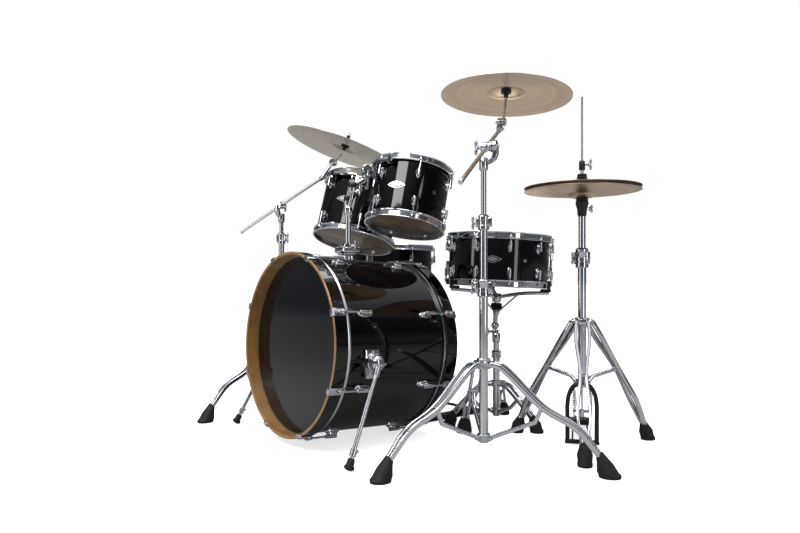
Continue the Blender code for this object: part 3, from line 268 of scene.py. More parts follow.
def lathed_bronze(name, pale, dark, centre, axis, groove, rough):
    """Cymbal bronze: turned grooves round the bell, drawn as wide as they need to show, and hammering."""
    made, tree, shader = new_material(name, pale, rough, 1.0, Anisotropic=0.55)
    place = standing(centre + SHIFT, axis)
    where, radius, _ = round_axis(tree, place)
    line = add_node(tree, "ShaderNodeCombineXYZ", {"X": radius}).outputs["Vector"]
    fine, broad = noise_on(tree, groove, 1.0, line), noise_on(tree, BROAD_BAND_MM, 2.0, line)
    blotches = noise_on(tree, HAMMER_MARK_MM, 2.0)
    tint(tree, shader, mean_of(tree, fine, broad), dark, pale, 0.36, 0.62)
    roughen(tree, shader, blotches, rough - 0.06, rough + 0.08)
    turning = add_node(tree, "ShaderNodeBump", {"Height": fine}, Strength=0.7, Distance=0.0003)
    dents = add_node(tree, "ShaderNodeBump", {"Height": blotches, "Normal": turning.outputs["Normal"]},
                     Strength=0.5, Distance=0.0006)
    tree.links.new(dents.outputs["Normal"], shader.inputs["Normal"])
    spoke = add_node(tree, "ShaderNodeVectorMath", {0: where}, operation="SUBTRACT")
    spoke.inputs[1].default_value = place.to_translation()
    round_way = add_node(tree, "ShaderNodeVectorMath", {0: spoke.outputs["Vector"]},
                         operation="CROSS_PRODUCT")
    round_way.inputs[1].default_value = axis
    way = add_node(tree, "ShaderNodeVectorMath", {0: round_way.outputs["Vector"]}, operation="NORMALIZE")
    tree.links.new(way.outputs["Vector"], shader.inputs["Tangent"])
    return made


def moulded_rubber():
    """Moulded black rubber: matt, with a fine tooth and slightly greyed by handling."""
    made, tree, shader = new_material("rubber", "#131314", 0.72)
    tint(tree, shader, noise_on(tree, 20), "#040405", "#0B0B0C")
    bump(tree, shader, noise_on(tree, 1.6), 0.10, 0.6)
    return made


def black_nylon():
    """Moulded nylon bushings and sleeves: satin black."""
    made, tree, shader = new_material("black_nylon", "#0C0C0D", 0.42)
    roughen(tree, shader, noise_on(tree, 6), 0.36, 0.50)
    return made


def powder_coat():
    """Black powder coat on steel: semi-gloss with a fine pebble, drawn 1.8 mm wide."""
    made, tree, shader = new_material("black_steel", "#0B0B0C", 0.38)
    roughen(tree, shader, noise_on(tree, 30), 0.30, 0.46)
    bump(tree, shader, noise_on(tree, 1.8, 2.0), 0.06, 0.7)
    return made


def wool_felt():
    """Pressed black wool felt: no shine, and a fuzzy, uneven surface."""
    made, tree, shader = new_material("felt", "#0F0F10", 0.95, Sheen_Weight=0.4)
    bump(tree, shader, noise_on(tree, 1.2, 4.0), 0.4)
    return made


def coiled_wire():
    """Snare wire and springs: bright drawn steel."""
    made, tree, shader = new_material("snare_wire", "#BFC1C4", 0.22, 1.0)
    roughen(tree, shader, noise_on(tree, 3), 0.16, 0.30)
    return made


def standing(centre, axis):
    """A place whose Z points along the axis and whose X stays as near +X as it can."""
    up = Vector(axis).normalized()
    side = Vector((0, 1, 0)).cross(up).normalized()
    return Matrix.Translation(centre) @ Matrix((side, up.cross(side), up)).transposed().to_4x4()


def bass_place():
    """The bass drum's middle, with Z along its axis towards the audience and the front hoop lifted."""
    tilt = math.asin(BASS_FRONT_LIFT / BASS_SPAN)
    middle = BASS_HOOP_RADIUS + BASS_FRONT_LIFT / 2
    return Matrix.Translation((0, 0, middle)) @ Matrix.Rotation(math.pi / 2 - tilt, 4, "X")


HIHAT_CENTRE = HIHAT_POST + UP * HIHAT_RIMS[1]
FINISHES = {
    "black_lacquer": polished_lacquer(), "chrome": chrome_plate(), "cast_chrome": cast_chrome(),
    "aluminium": rolled_aluminium(), "black_film": black_film(), "coated_film": coated_film(),
    "clear_film": clear_film(), "rubber": moulded_rubber(), "nylon": black_nylon(),
    "black_steel": powder_coat(), "felt": wool_felt(), "wire": coiled_wire(),
    "maple_hoop": bent_maple("maple_hoop", "#A9804F", "#8A633A", Matrix.Translation(SHIFT) @ bass_place()),
    "maple_ply": bent_maple("maple_ply", "#C99F70", "#B08352", IDENTITY),
    "crash_bronze": lathed_bronze("crash_bronze", "#E6CFB6", "#CDB194", CRASH["centre"], CRASH["axis"], 2.2,
                                  0.30),
    "ride_bronze": lathed_bronze("ride_bronze", "#EBE3D3", "#D3C8B4", RIDE["centre"], RIDE["axis"], 2.6,
                                 0.30),
    "hihat_bronze": lathed_bronze("hihat_bronze", "#DABD9F", "#B4957A", HIHAT_CENTRE, UP, 2.2, 0.32),
}


# ---------------------------------------------------------------- making shapes
SHARP_ANGLE = math.radians(36)            # edges that bend more than this stay crisp
CURVE_STEPS, ROD_CHAMFER = 6, 0.0006      # steps between two points of a bent bar; a rod's end chamfer


def around(radius, degrees, height=0.0):
    angle = math.radians(degrees)
    return Vector((radius * math.cos(angle), radius * math.sin(angle), height))


def turn_z(degrees, origin=(0, 0, 0)):
    return Matrix.Translation(origin) @ Matrix.Rotation(math.radians(degrees), 4, "Z")


def pointing(origin, direction):
    """A place at origin whose Z points along direction."""
    return Matrix.Translation(origin) @ Vector(direction).to_track_quat("Z", "Y").to_matrix().to_4x4()


def smooth_line(points):
    """A Catmull-Rom curve through the points."""
    points = [Vector(point) for point in points]
    ends = [2 * points[0] - points[1], *points, 2 * points[-1] - points[-2]]
    line = []
    for a, b, c, d in zip(ends, ends[1:], ends[2:], ends[3:]):
        for step in range(CURVE_STEPS):
            t = step / CURVE_STEPS
            line.append(0.5 * (2 * b + (c - a) * t + (2 * a - 5 * b + 4 * c - d) * t * t
                               + (3 * b - a - 3 * c + d) * t ** 3))
    return line + [points[-1]]


class Piece:
    """A mesh under construction: each shape goes in with the finish that was named last."""

    def __init__(self, finish="chrome"):
        self.bm = bmesh.new()
        self.finishes = []
        self.use(finish)

    def use(self, finish):
        if finish not in self.finishes:
            self.finishes.append(finish)
        self.slot = self.finishes.index(finish)
        return self

    def skin(self, rows, finishes=None, closed=False, caps=False):
        """Faces between rows of points; a row round a pole is one vertex repeated."""
        count = len(rows) if closed else len(rows) - 1
        for i in range(count):
            if finishes:
                self.use(finishes[i])
            here, there = rows[i], rows[(i + 1) % len(rows)]
            for k in range(len(here)):
                corners = [here[k], here[(k + 1) % len(here)], there[(k + 1) % len(here)], there[k]]
                corners = list(dict.fromkeys(corners))
                if len(corners) > 2:
                    self.bm.faces.new(corners).material_index = self.slot
        for row in (rows[0], rows[-1]) if caps else ():
            self.bm.faces.new(row).material_index = self.slot

    def row(self, points):
        return [self.bm.verts.new(point) for point in points]

    def lathe(self, profile, place=IDENTITY, steps=64, finishes=None):
        """Turns a closed outline of (radius, height) round Z."""
        rows = []
        for radius, height in profile:
            if radius < 1e-7:
                rows.append([self.bm.verts.new(place @ Vector((0, 0, height)))] * steps)
            else:
                rows.append(self.row([place @ around(radius, 360 * k / steps, height) for k in range(steps)]))
        self.skin(rows, finishes, closed=True)
        return self

    def rod(self, a, b, radius, end=None, sides=20, place=IDENTITY):
        """A round bar from a to b, tapered when the end radius is given, with small chamfers."""
        a, b, end = Vector(a), Vector(b), radius if end is None else end
        length, cut = (b - a).length, min(ROD_CHAMFER, radius * 0.4, end * 0.4)
        profile = [(0, length), (end - cut, length), (end, length - cut), (radius, cut), (radius - cut, 0),
                   (0, 0)]
        return self.lathe(profile, place @ pointing(a, b - a), sides)

    def turned(self, outline, place=IDENTITY, steps=32):
        """A solid of revolution from an outline of (radius, height), closed on the axis at both ends."""
        return self.lathe([(0, outline[0][1]), *outline, (0, outline[-1][1])], place, steps)

    def ball(self, centre, radius, place=IDENTITY, squash=(1, 1, 1), sides=24):
        arc = [math.pi * k / 12 for k in range(13)]
        where = place @ Matrix.Translation(centre) @ Matrix.Diagonal((*squash, 1))
        return self.lathe([(radius * math.sin(a), radius * math.cos(a)) for a in arc], where, sides)

    def tube(self, points, radius, sides=14, place=IDENTITY, smooth=True, across=None, height=None):
        """A round bar along the points, or a rounded strap when across, its flat way, and height are set."""
        line = [place @ point for point in (smooth_line(points) if smooth else map(Vector, points))]
        side = (place.to_3x3() @ Vector(across)).normalized() if across else None
        rows, previous = [], None
        for index, point in enumerate(line):
            ahead = (line[min(index + 1, len(line) - 1)] - line[max(index - 1, 0)]).normalized()
            if side is not None:
                u = side
            elif previous is None:
                u = ahead.orthogonal().normalized()
            else:
                u = (previous - ahead * previous.dot(ahead)).normalized()
            previous, v = u, ahead.cross(u).normalized()
            ring = []
            for k in range(sides):
                a = math.tau * k / sides
                x, y = math.cos(a), math.sin(a)
                if height:
                    x, y = math.copysign(abs(x) ** 0.45, x), math.copysign(abs(y) ** 0.45, y)
                ring.append(point + u * x * radius + v * y * (height or radius))
            rows.append(self.row(ring))
        self.skin(rows, caps=True)
        return self

    def slab(self, size, centre, place=IDENTITY, bevel=0.0010):
        """A box with rounded edges."""
        box = bmesh.new()
        bmesh.ops.create_cube(box, size=1.0, matrix=Matrix.Diagonal((*size, 1)))
        width = min(bevel, min(size) * 0.45)
        bmesh.ops.bevel(box, geom=box.edges[:], offset=width, segments=2, affect="EDGES", profile=0.5)
        mesh = bpy.data.meshes.new("slab")
        box.to_mesh(mesh)
        box.free()
        return self.add(mesh, place @ Matrix.Translation(centre))

    def add(self, mesh, place=IDENTITY):
        """Takes in a finished mesh, with the current finish."""
        start = len(self.bm.faces)
        mesh.transform(place)
        self.bm.from_mesh(mesh)
        self.bm.faces.ensure_lookup_table()
        for face in self.bm.faces[start:]:
            face.material_index = self.slot
        bpy.data.meshes.remove(mesh)
        return self

    def mesh(self, name="unit"):
        bmesh.ops.recalc_face_normals(self.bm, faces=self.bm.faces)
        made = bpy.data.meshes.new(name)
        self.bm.to_mesh(made)
        self.bm.free()
        for finish in self.finishes:
            made.materials.append(FINISHES[finish])
        return made

    def done(self, name, body, slot, *nodes):
        mesh = self.mesh(name)
        mesh.transform(Matrix.Translation(SHIFT))
        mesh.shade_smooth()
        mesh.set_sharp_from_angle(angle=SHARP_ANGLE)
        piece = bpy.data.objects.new(name, mesh)
        bpy.context.scene.collection.objects.link(piece)
        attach(piece, body)
        if nodes:
            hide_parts(*nodes)
        return piece


def make_ring_tree():
    """Geometry nodes that set copies of one piece round a circle, each turned to face outwards."""
    tree = bpy.data.node_groups.new("ring_of_copies", "GeometryNodeTree")
    sockets = {}
    for name, kind in (("Copy", "NodeSocketObject"), ("Count", "NodeSocketInt"),
                       ("Radius", "NodeSocketFloat"),
                       ("First", "NodeSocketFloat"), ("Height", "NodeSocketFloat"), ("Finish",
                                                                                     "NodeSocketMaterial")):
        sockets[name] = tree.interface.new_socket(name=name, in_out="INPUT", socket_type=kind).identifier
    tree.interface.new_socket(name="Geometry", in_out="OUTPUT", socket_type="NodeSocketGeometry")
    inputs = add_node(tree, "NodeGroupInput").outputs
    index = add_node(tree, "GeometryNodeInputIndex").outputs["Index"]
    step = add_node(tree, "ShaderNodeMath", {1: inputs["Count"]}, operation="DIVIDE")
    step.inputs[0].default_value = math.tau
    swing = add_node(tree, "ShaderNodeMath", {0: index, 1: step.outputs["Value"]}, operation="MULTIPLY")
    angle = add_node(tree, "ShaderNodeMath", {0: swing.outputs["Value"], 1: inputs["First"]}, operation="ADD")
    axes = {}
    for axis, function in (("X", "COSINE"), ("Y", "SINE")):
        wave = add_node(tree, "ShaderNodeMath", {0: angle.outputs["Value"]}, operation=function)
        axes[axis] = add_node(tree, "ShaderNodeMath", {0: wave.outputs["Value"], 1: inputs["Radius"]},
                              operation="MULTIPLY").outputs["Value"]
    spot = add_node(tree, "ShaderNodeCombineXYZ", {**axes, "Z": inputs["Height"]}).outputs["Vector"]
    points = add_node(tree, "GeometryNodePoints", {"Count": inputs["Count"], "Position": spot})
    facing = add_node(tree, "ShaderNodeCombineXYZ", {"Z": angle.outputs["Value"]}).outputs["Vector"]
    copy = add_node(tree, "GeometryNodeObjectInfo", {"Object": inputs["Copy"]}).outputs["Geometry"]
    placed = add_node(tree, "GeometryNodeInstanceOnPoints",
                      {"Points": points.outputs[0], "Instance": copy, "Rotation": facing})
    real = add_node(tree, "GeometryNodeRealizeInstances", {"Geometry": placed.outputs["Instances"]})
    painted = add_node(tree, "GeometryNodeSetMaterial",
                       {"Geometry": real.outputs["Geometry"], "Material": inputs["Finish"]})
    add_node(tree, "NodeGroupOutput", {"Geometry": painted.outputs["Geometry"]})
    return tree, sockets


RING_TREE, RING_SOCKETS = make_ring_tree()


def ringed(unit, count, radius, first, height, finish="chrome"):
    """A plain mesh of count copies of the unit on a circle; the unit's +X faces outwards."""
    mesh = unit if isinstance(unit, bpy.types.Mesh) else unit.mesh()
    source = bpy.data.objects.new("unit", mesh)
    holder = bpy.data.objects.new("ring", bpy.data.meshes.new("ring"))
    for item in (source, holder):
        bpy.context.scene.collection.objects.link(item)
    modifier = holder.modifiers.new("ring", "NODES")
    modifier.node_group = RING_TREE
    values = {"Copy": source, "Count": count, "Radius": float(radius), "First": math.radians(first),
              "Height": float(height), "Finish": FINISHES[finish]}
    for name, value in values.items():
        modifier[RING_SOCKETS[name]] = value
    bpy.context.view_layer.update()
    made = bpy.data.meshes.new_from_object(holder.evaluated_get(bpy.context.evaluated_depsgraph_get()))
    for item in (holder, source):
        bpy.data.objects.remove(item)
    return made


# ---------------------------------------------------------------- drums
UPSIDE_DOWN = Matrix.Rotation(math.pi, 4, "X")
MIRRORED = Matrix.Diagonal((1, 1, -1, 1))
# points round a turned outline
DRUM_STEPS, SHELL_STEPS, CYMBAL_STEPS, BASS_STEPS, BASS_SHELL_STEPS = 96, 128, 144, 160, 192


def small_lug():
    """A teardrop lug: a domed foot on the shell, and the sleeve that takes the tension rod."""
    unit = Piece("cast_chrome")
    unit.ball((0.0005, 0, 0), 1, squash=(0.0090, 0.0088, LUG_LENGTH / 2), sides=20)
    unit.ball((0.0060, 0, 0.001), 1, squash=(0.0085, 0.0068, LUG_LENGTH * 0.36), sides=18)
    unit.rod((ROD_OUT, 0, -0.010), (ROD_OUT, 0, LUG_LENGTH / 2 + 0.002), 0.0056, 0.0048, sides=16)
    return unit


def rod_and_ear(half, reach):
    """A key rod from the lug up through the rim's ear, with its washer and square head."""
    unit = Piece("chrome")
    low = half - HOOP_SKIRT
    unit.slab((0.0135, 0.0165, 0.0040), (ROD_OUT - 0.0035, 0, low + 0.0022), bevel=0.0016)
    unit.rod((ROD_OUT, 0, half - reach), (ROD_OUT, 0, low + 0.004), ROD_RADIUS, sides=10)
    unit.rod((ROD_OUT, 0, low + 0.0042), (ROD_OUT, 0, low + 0.0056), 0.0056, sides=16)
    unit.rod((ROD_OUT, 0, low + 0.0056), (ROD_OUT, 0, low + 0.0096), 0.0044, sides=14)
    unit.rod((ROD_OUT, 0, low + 0.0096), (ROD_OUT, 0, low + 0.0160), 0.0034, sides=4)
    return unit


def draw_rim(piece, drum, place, flip):
    """A tall triple-flanged steel rim with its tension rods."""
    radius, half = drum["radius"], drum["depth"] / 2
    top, low, lip = half + HOOP_RISE, half - HOOP_SKIRT, half + 0.0030
    outline = [(radius + 0.0056, top), (radius + 0.0092, top - 0.0004), (radius + 0.0103, top - 0.0018),
               (radius + 0.0098, top - 0.0034), (radius + 0.0082, top - 0.0046), (radius + 0.0080,
                                                                                  low + 0.0060),
               (radius + 0.0092, low + 0.0044), (radius + 0.0112, low + 0.0036),
               (radius + 0.0116, low + 0.0014), (radius + 0.0106, low), (radius + 0.0062, low),
               (radius + 0.0062, lip),
               (radius + 0.0048, lip + 0.0012), (radius + 0.0046, top - 0.0010)]
    where = place @ MIRRORED if flip else place
    piece.use("chrome").lathe(outline, where, DRUM_STEPS)
    reach = drum["inset"] - 0.020
    piece.add(ringed(rod_and_ear(half, reach), drum["lugs"], radius, drum["first"], 0), where)


def draw_head(piece, drum, place, film):
    """A stretched film with its collar and the aluminium ring that the rim pulls down."""
    radius, half = drum["radius"], drum["depth"] / 2
    low, top = half + 0.0003, half + 0.0003 + HEAD_FILM
    edge = radius + FLESH_RING
    outline = [(0, top), (radius - 0.012, top), (radius - 0.002, top - 0.0002), (edge - 0.001, top - 0.0008),
               (edge, top - 0.0018), (edge, top - FLESH_DEPTH), (radius + 0.0008, top - FLESH_DEPTH),
               (radius + 0.0008, low - 0.0020), (radius - 0.003, low), (0, low)]
    piece.lathe(outline, place, DRUM_STEPS, [film] * 3 + ["aluminium"] * 4 + [film] * 3)


def draw_shell(piece, drum, place):
    """A lacquered ply shell, bevelled to its bearing edges and bare wood inside, with two rows of lugs."""
    radius, half = drum["radius"], drum["depth"] / 2
    outline = [(radius, half - 0.0025), (radius, -half + 0.0025), (radius - 0.0025, -half),
               (radius - SHELL_WALL, -half + 0.004),
               (radius - SHELL_WALL, half - 0.004), (radius - 0.0025, half)]
    piece.lathe(outline, place, SHELL_STEPS, ["black_lacquer"] + ["maple_ply"] * 5)
    piece.use("cast_chrome")
    for flip in (False, True):
        lugs = ringed(small_lug(), drum["lugs"], radius, drum["first"], half - drum["inset"], "cast_chrome")
        piece.add(lugs, place @ MIRRORED if flip else place)
    vent = turn_z(drum["first"] + 180 / drum["lugs"])
    piece.lathe([(0.0030, 0.0018), (0.0062, 0.0014), (0.0066, -0.004), (0.0030, -0.004)],
                place @ vent @ pointing((radius - 0.0005, 0, 0), (1, 0, 0)), 24)


def draw_badge(piece, drum, place, azimuth):
    """A plain lozenge plate with a raised border, set between two lugs."""
    radius = drum["radius"]
    where = place @ turn_z(azimuth)
    for finish, grow, out in (("aluminium", 1.0, 0.0012), ("black_steel", 0.82, 0.0018),
                              ("aluminium", 0.60, 0.0023)):
        piece.use(finish)
        rows = []
        for lift in (0.0, out):
            ring = []
            for k in range(32):
                a = math.tau * k / 32
                wide = 0.030 * grow * math.copysign(abs(math.cos(a)) ** 1.6, math.cos(a))
                tall = 0.0125 * grow * math.copysign(abs(math.sin(a)) ** 1.6, math.sin(a))
                bend = wide / radius
                ring.append(where @ Vector(((radius + lift) * math.cos(bend),
                                            (radius + lift) * math.sin(bend), tall)))
            rows.append(piece.row(ring))
        piece.skin(rows, caps=True)


def draw_drum(name, drum, body, badge=None, joined_bottom=False):
    """Draws the rims and heads, and gives back the place and the unfinished shell."""
    place = standing(drum["centre"], drum["axis"])
    shell = Piece("black_lacquer")
    draw_shell(shell, drum, place)
    if badge is not None:
        draw_badge(shell, drum, place, badge)
    for end, flip, film in (("top", False, "coated_film"), ("bottom", True, "clear_film")):
        where = place @ UPSIDE_DOWN if flip else place
        rim = Piece("chrome")
        draw_rim(rim, drum, place, flip)
        rim.done(f"{name}_{end}_rim", body, "chrome", f"{name}_{end}_hoop")
        head = Piece(film)
        draw_head(head, drum, where, film)
        slot = "clear_head_film" if flip else "coated_head_film"
        nodes = [] if flip and joined_bottom else [f"{name}_{end}_head"]
        head.done(f"{name}_{end}_film", body, slot, *nodes)
    return place, shell


def bass_lug():
    """A larger teardrop lug, with the sleeve for the tension rod."""
    unit = Piece("cast_chrome")
    unit.ball((0.0005, 0, 0), 1, squash=(0.0110, 0.0115, 0.027), sides=22)
    unit.ball((0.0085, 0, 0.001), 1, squash=(0.0110, 0.0085, 0.019), sides=20)
    unit.rod((BASS_ROD_OUT, 0, -0.012), (BASS_ROD_OUT, 0, 0.027), 0.0068, 0.0060, sides=18)
    return unit


def claw_and_rod(low, high):
    """A claw hook over the hoop's edge, pulled by a key rod from the lug."""
    unit = Piece("cast_chrome")
    out, rod_at = BASS_HOOP_RADIUS, BASS_RADIUS + BASS_ROD_OUT
    unit.slab((0.0042, 0.0230, high - low - 0.006), (out + 0.0024, 0, (low + high) / 2 + 0.004), bevel=0.0016)
    unit.slab((0.0135, 0.0230, 0.0036), (out - 0.0040, 0, high + 0.0020), bevel=0.0014)
    unit.slab((0.0110, 0.0150, 0.0170), (rod_at - 0.0010, 0, low + 0.010), bevel=0.0030)
    unit.rod((rod_at, 0, BASS_LUG_MIDDLE + 0.018), (rod_at, 0, low + 0.004), 0.0030, sides=12)
    unit.rod((rod_at, 0, low + 0.018), (rod_at, 0, low + 0.0205), 0.0068, sides=18)
    unit.rod((rod_at, 0, low + 0.0205), (rod_at, 0, low + 0.0290), 0.0040, sides=4)
    return unit


def draw_bass_hoop(name, place, edge, slot, node):
    """A lacquered bent-wood hoop with softened corners, and its claws."""
    half = BASS_DEPTH / 2
    low = half + 0.0016
    high, out, soft = low + BASS_HOOP_WIDTH, BASS_HOOP_RADIUS, 0.0016
    inside = BASS_HOOP_RADIUS - BASS_HOOP_WALL
    hoop = Piece("black_lacquer")
    outline = [(out, high - soft), (out, low + soft), (out - soft, low), (inside + soft, low),
               (inside, low + soft), (inside, high - soft), (inside + soft, high), (out - soft, high)]
    hoop.lathe(outline, place, BASS_STEPS, ["black_lacquer"] * 3 + [edge] * 5)
    hoop.use("cast_chrome")
    claws = ringed(claw_and_rod(low, high), BASS_LUGS, 0, 180 / BASS_LUGS, 0, "cast_chrome")
    hoop.add(claws, place)
    hoop.done(name, "root", slot, node)


def draw_bass_head(name, place, film, slot, node):
    """A film with its aluminium flesh ring showing between the shell and the hoop."""
    half, radius = BASS_DEPTH / 2, BASS_RADIUS
    low, top, edge = half + 0.0003, half + 0.0013, radius + 0.0066
    head = Piece(film)
    outline = [(0, top), (radius - 0.016, top), (radius - 0.001, top + 0.0002), (edge - 0.001, top),
               (edge, top - 0.0016), (edge, top - 0.0095), (radius + 0.0012, top - 0.0095),
               (radius + 0.0012, low - 0.002), (radius - 0.004, low), (0, low)]
    head.lathe(outline, place, BASS_STEPS, [film] * 2 + ["aluminium"] * 5 + [film] * 3)
    head.done(name, "root", slot, node)


SPUR_HINGE = Vector((BASS_RADIUS, -0.103, 0.275))
SPUR_FOOT = Vector((0.363, -0.238, 0.001))
HOLDER = Vector((0, 0.002, 0))
YOKE_FOOT = 0.742


def draw_bass_shell():
    """The shell with its lugs and the toothed hinge plates of the two spurs."""
    place = bass_place()
    shell = Piece("black_lacquer")
    half, radius = BASS_DEPTH / 2, BASS_RADIUS
    outline = [(radius, half - 0.003), (radius, -half + 0.003), (radius - 0.003, -half),
               (radius - SHELL_WALL, -half + 0.005),
               (radius - SHELL_WALL, half - 0.005), (radius - 0.003, half)]
    shell.lathe(outline, place, BASS_SHELL_STEPS, ["black_lacquer"] + ["maple_ply"] * 5)
    shell.use("cast_chrome")
    for flip in (False, True):
        lugs = ringed(bass_lug(), BASS_LUGS, radius, 180 / BASS_LUGS, BASS_LUG_MIDDLE, "cast_chrome")
        shell.add(lugs, place @ MIRRORED if flip else place)
    for side in (-1, 1):
        hinge = Vector((side * SPUR_HINGE.x, SPUR_HINGE.y, SPUR_HINGE.z))
        out = pointing(hinge, (side, 0, 0))
        shell.slab((0.016, 0.052, 0.086), hinge + Vector((side * 0.002, 0, -0.004)), bevel=0.006)
        shell.turned([(0.030, -0.002), (0.030, 0.008), (0.0275, 0.012), (0.0265, 0.022), (0.024, 0.0245),
                      (0.024, 0.0295)], out, 48)
        teeth = Piece("cast_chrome").slab((0.0040, 0.0022, 0.0035), (0, 0, 0), bevel=0.0003)
        shell.add(ringed(teeth, 36, 0.0215, 0, 0.0290, "cast_chrome"), out)
        for high in (-0.037, 0.030):
            screw = hinge + UP * high
            shell.use("chrome").rod(screw + Vector((side * 0.008, 0, 0)),
                                    screw + Vector((side * 0.0125, 0, 0)), 0.0046, sides=6)
        shell.use("cast_chrome")
    shell.done("bass_drum_shell", "root", "black_lacquer", "bass_shell")


def draw_spur(name, side):
    """A folding leg: knuckle with its key, steel rod with a clamp, and a rubber foot over its spike."""
    hinge = Vector((side * (BASS_RADIUS + 0.0303), SPUR_HINGE.y, SPUR_HINGE.z))
    foot = Vector((side * SPUR_FOOT.x, SPUR_FOOT.y, SPUR_FOOT.z))
    start = hinge + Vector((side * 0.010, 0, 0))
    line = foot - start
    leg = Piece("cast_chrome")
    leg.turned([(0.0215, 0), (0.0225, 0.003), (0.0225, 0.008), (0.0185, 0.014), (0.0110, 0.019),
                (0.0060, 0.020)],
               pointing(hinge, (side, 0, 0)), 40)
    way = line.normalized()
    leg.rod(start - way * 0.010, start + way * 0.034, 0.0110, 0.0100, sides=24)
    leg.use("chrome").rod(start, start + line * 0.92, 0.0064, sides=24)
    grip = pointing(hinge + Vector((side * 0.018, 0, 0)), (side, 0, 0))
    leg.rod((0, 0, 0), (0, 0, 0.006), 0.0042, place=grip)
    leg.use("cast_chrome").slab((0.030, 0.009, 0.006), (0, 0, 0.006), grip, 0.0028)
    leg.rod(start + line * 0.80, start + line * 0.865, 0.0098, sides=24)
    screw = start + line * 0.832
    leg.use("chrome").rod(screw + Vector((0, 0.008, 0)), screw + Vector((0, 0.016, 0)), 0.0032)
    leg.use("rubber")
    where = pointing(start + line * 0.885, line)
    run = line.length * 0.115
    leg.turned([(0.0085, 0), (0.0105, 0.004), (0.0112, run * 0.5), (0.0145, run * 0.58),
                (0.0148, run * 0.78), (0.008, run - 0.004)],
               where, 32)
    leg.done(name, name, "chrome", name)


def draw_bass_drum():
    """Shell, hoops, heads and spurs."""
    place = bass_place()
    back = place @ UPSIDE_DOWN
    draw_bass_shell()
    draw_bass_hoop("bass_front_wood_hoop", place, "maple_hoop", "maple_hoop", "bass_front_hoop")
    draw_bass_hoop("bass_rear_wood_hoop", back, "black_lacquer", "black_lacquer", "bass_rear_hoop")
    draw_bass_head("bass_front_film", place, "black_film", "black_head_film", "bass_front_head")
    draw_bass_head("bass_batter_film", back, "coated_film", "coated_head_film", "bass_batter_head")
    draw_spur("spur_left", -1)
    draw_spur("spur_right", 1)


# ---------------------------------------------------------------- tom holder
def draw_wing(piece, post, height, angle, out, size=1.0):
    """A collar's key bolt with its two-lobed wing."""
    turn = turn_z(angle, post)
    piece.use("chrome").rod((out - 0.004, 0, height), (out + 0.012, 0, height), 0.0038, sides=16, place=turn)
    piece.use("cast_chrome").rod((out + 0.008, 0, height), (out + 0.0165, 0, height), 0.0062, 0.0050,
                                 sides=18, place=turn)
    for way in (-1, 1):
        piece.ball((out + 0.0165, 0, height + way * 0.0085 * size), 1, turn, (0.0042, 0.0034, 0.0085 * size),
                   14)


def draw_holder():
    """The tom holder: a saddle on the bass drum, and the post with its two cups for the toms' balls."""
    base = Piece("cast_chrome")
    base.slab((0.054, 0.076, 0.020), HOLDER + UP * 0.611, bevel=0.006)
    base.slab((0.044, 0.060, 0.020), HOLDER + UP * 0.604, bevel=0.005)
    base.lathe([(0.0200, 0.612), (0.0196, 0.624), (0.0175, 0.634), (0.0106, 0.634), (0.0106, 0.612)],
               Matrix.Translation(HOLDER), 40)
    base.slab((0.020, 0.012, 0.018), HOLDER + Vector((0.022, 0, 0.624)), bevel=0.003)
    draw_wing(base, HOLDER, 0.624, 0, 0.026)
    for x in (-0.020, 0.020):
        for y in (-0.030, 0.030):
            base.use("chrome").ball(HOLDER + Vector((x, y, 0.6212)), 0.0042, squash=(1, 1, 0.5))
    base.done("tom_holder_saddle", "root", "chrome", "tom_holder_base")

    post = Piece("chrome")
    post.rod(HOLDER + UP * 0.482, HOLDER + UP * YOKE_FOOT, 0.0100, sides=36)
    post.use("cast_chrome").turned([(0.0135, -0.014), (0.0150, -0.010), (0.0150, 0.012), (0.0120, 0.016)],
                                   Matrix.Translation(HOLDER + UP * YOKE_FOOT), 36)
    for centre, way in ((HIGH_BALL, 20), (LOW_BALL, 160)):
        cup = centre - UP * 0.0195
        bend = (HOLDER + UP * YOKE_FOOT).lerp(cup, 0.55) + Vector(((centre.x - HOLDER.x) * 0.3, 0, 0))
        post.use("cast_chrome").tube([HOLDER + UP * (YOKE_FOOT + 0.004), bend, cup - UP * 0.004], 0.0076, 18)
        post.turned([(0.0095, -0.010), (0.0125, -0.006), (0.0135, 0.002), (0.0128, 0.0105), (0.0115, 0.0120)],
                    Matrix.Translation(cup), 32)
        draw_wing(post, cup, -0.002, way, 0.0125, 0.9)
    post.done("tom_holder_post", "tom_post", "chrome", "tom_post")


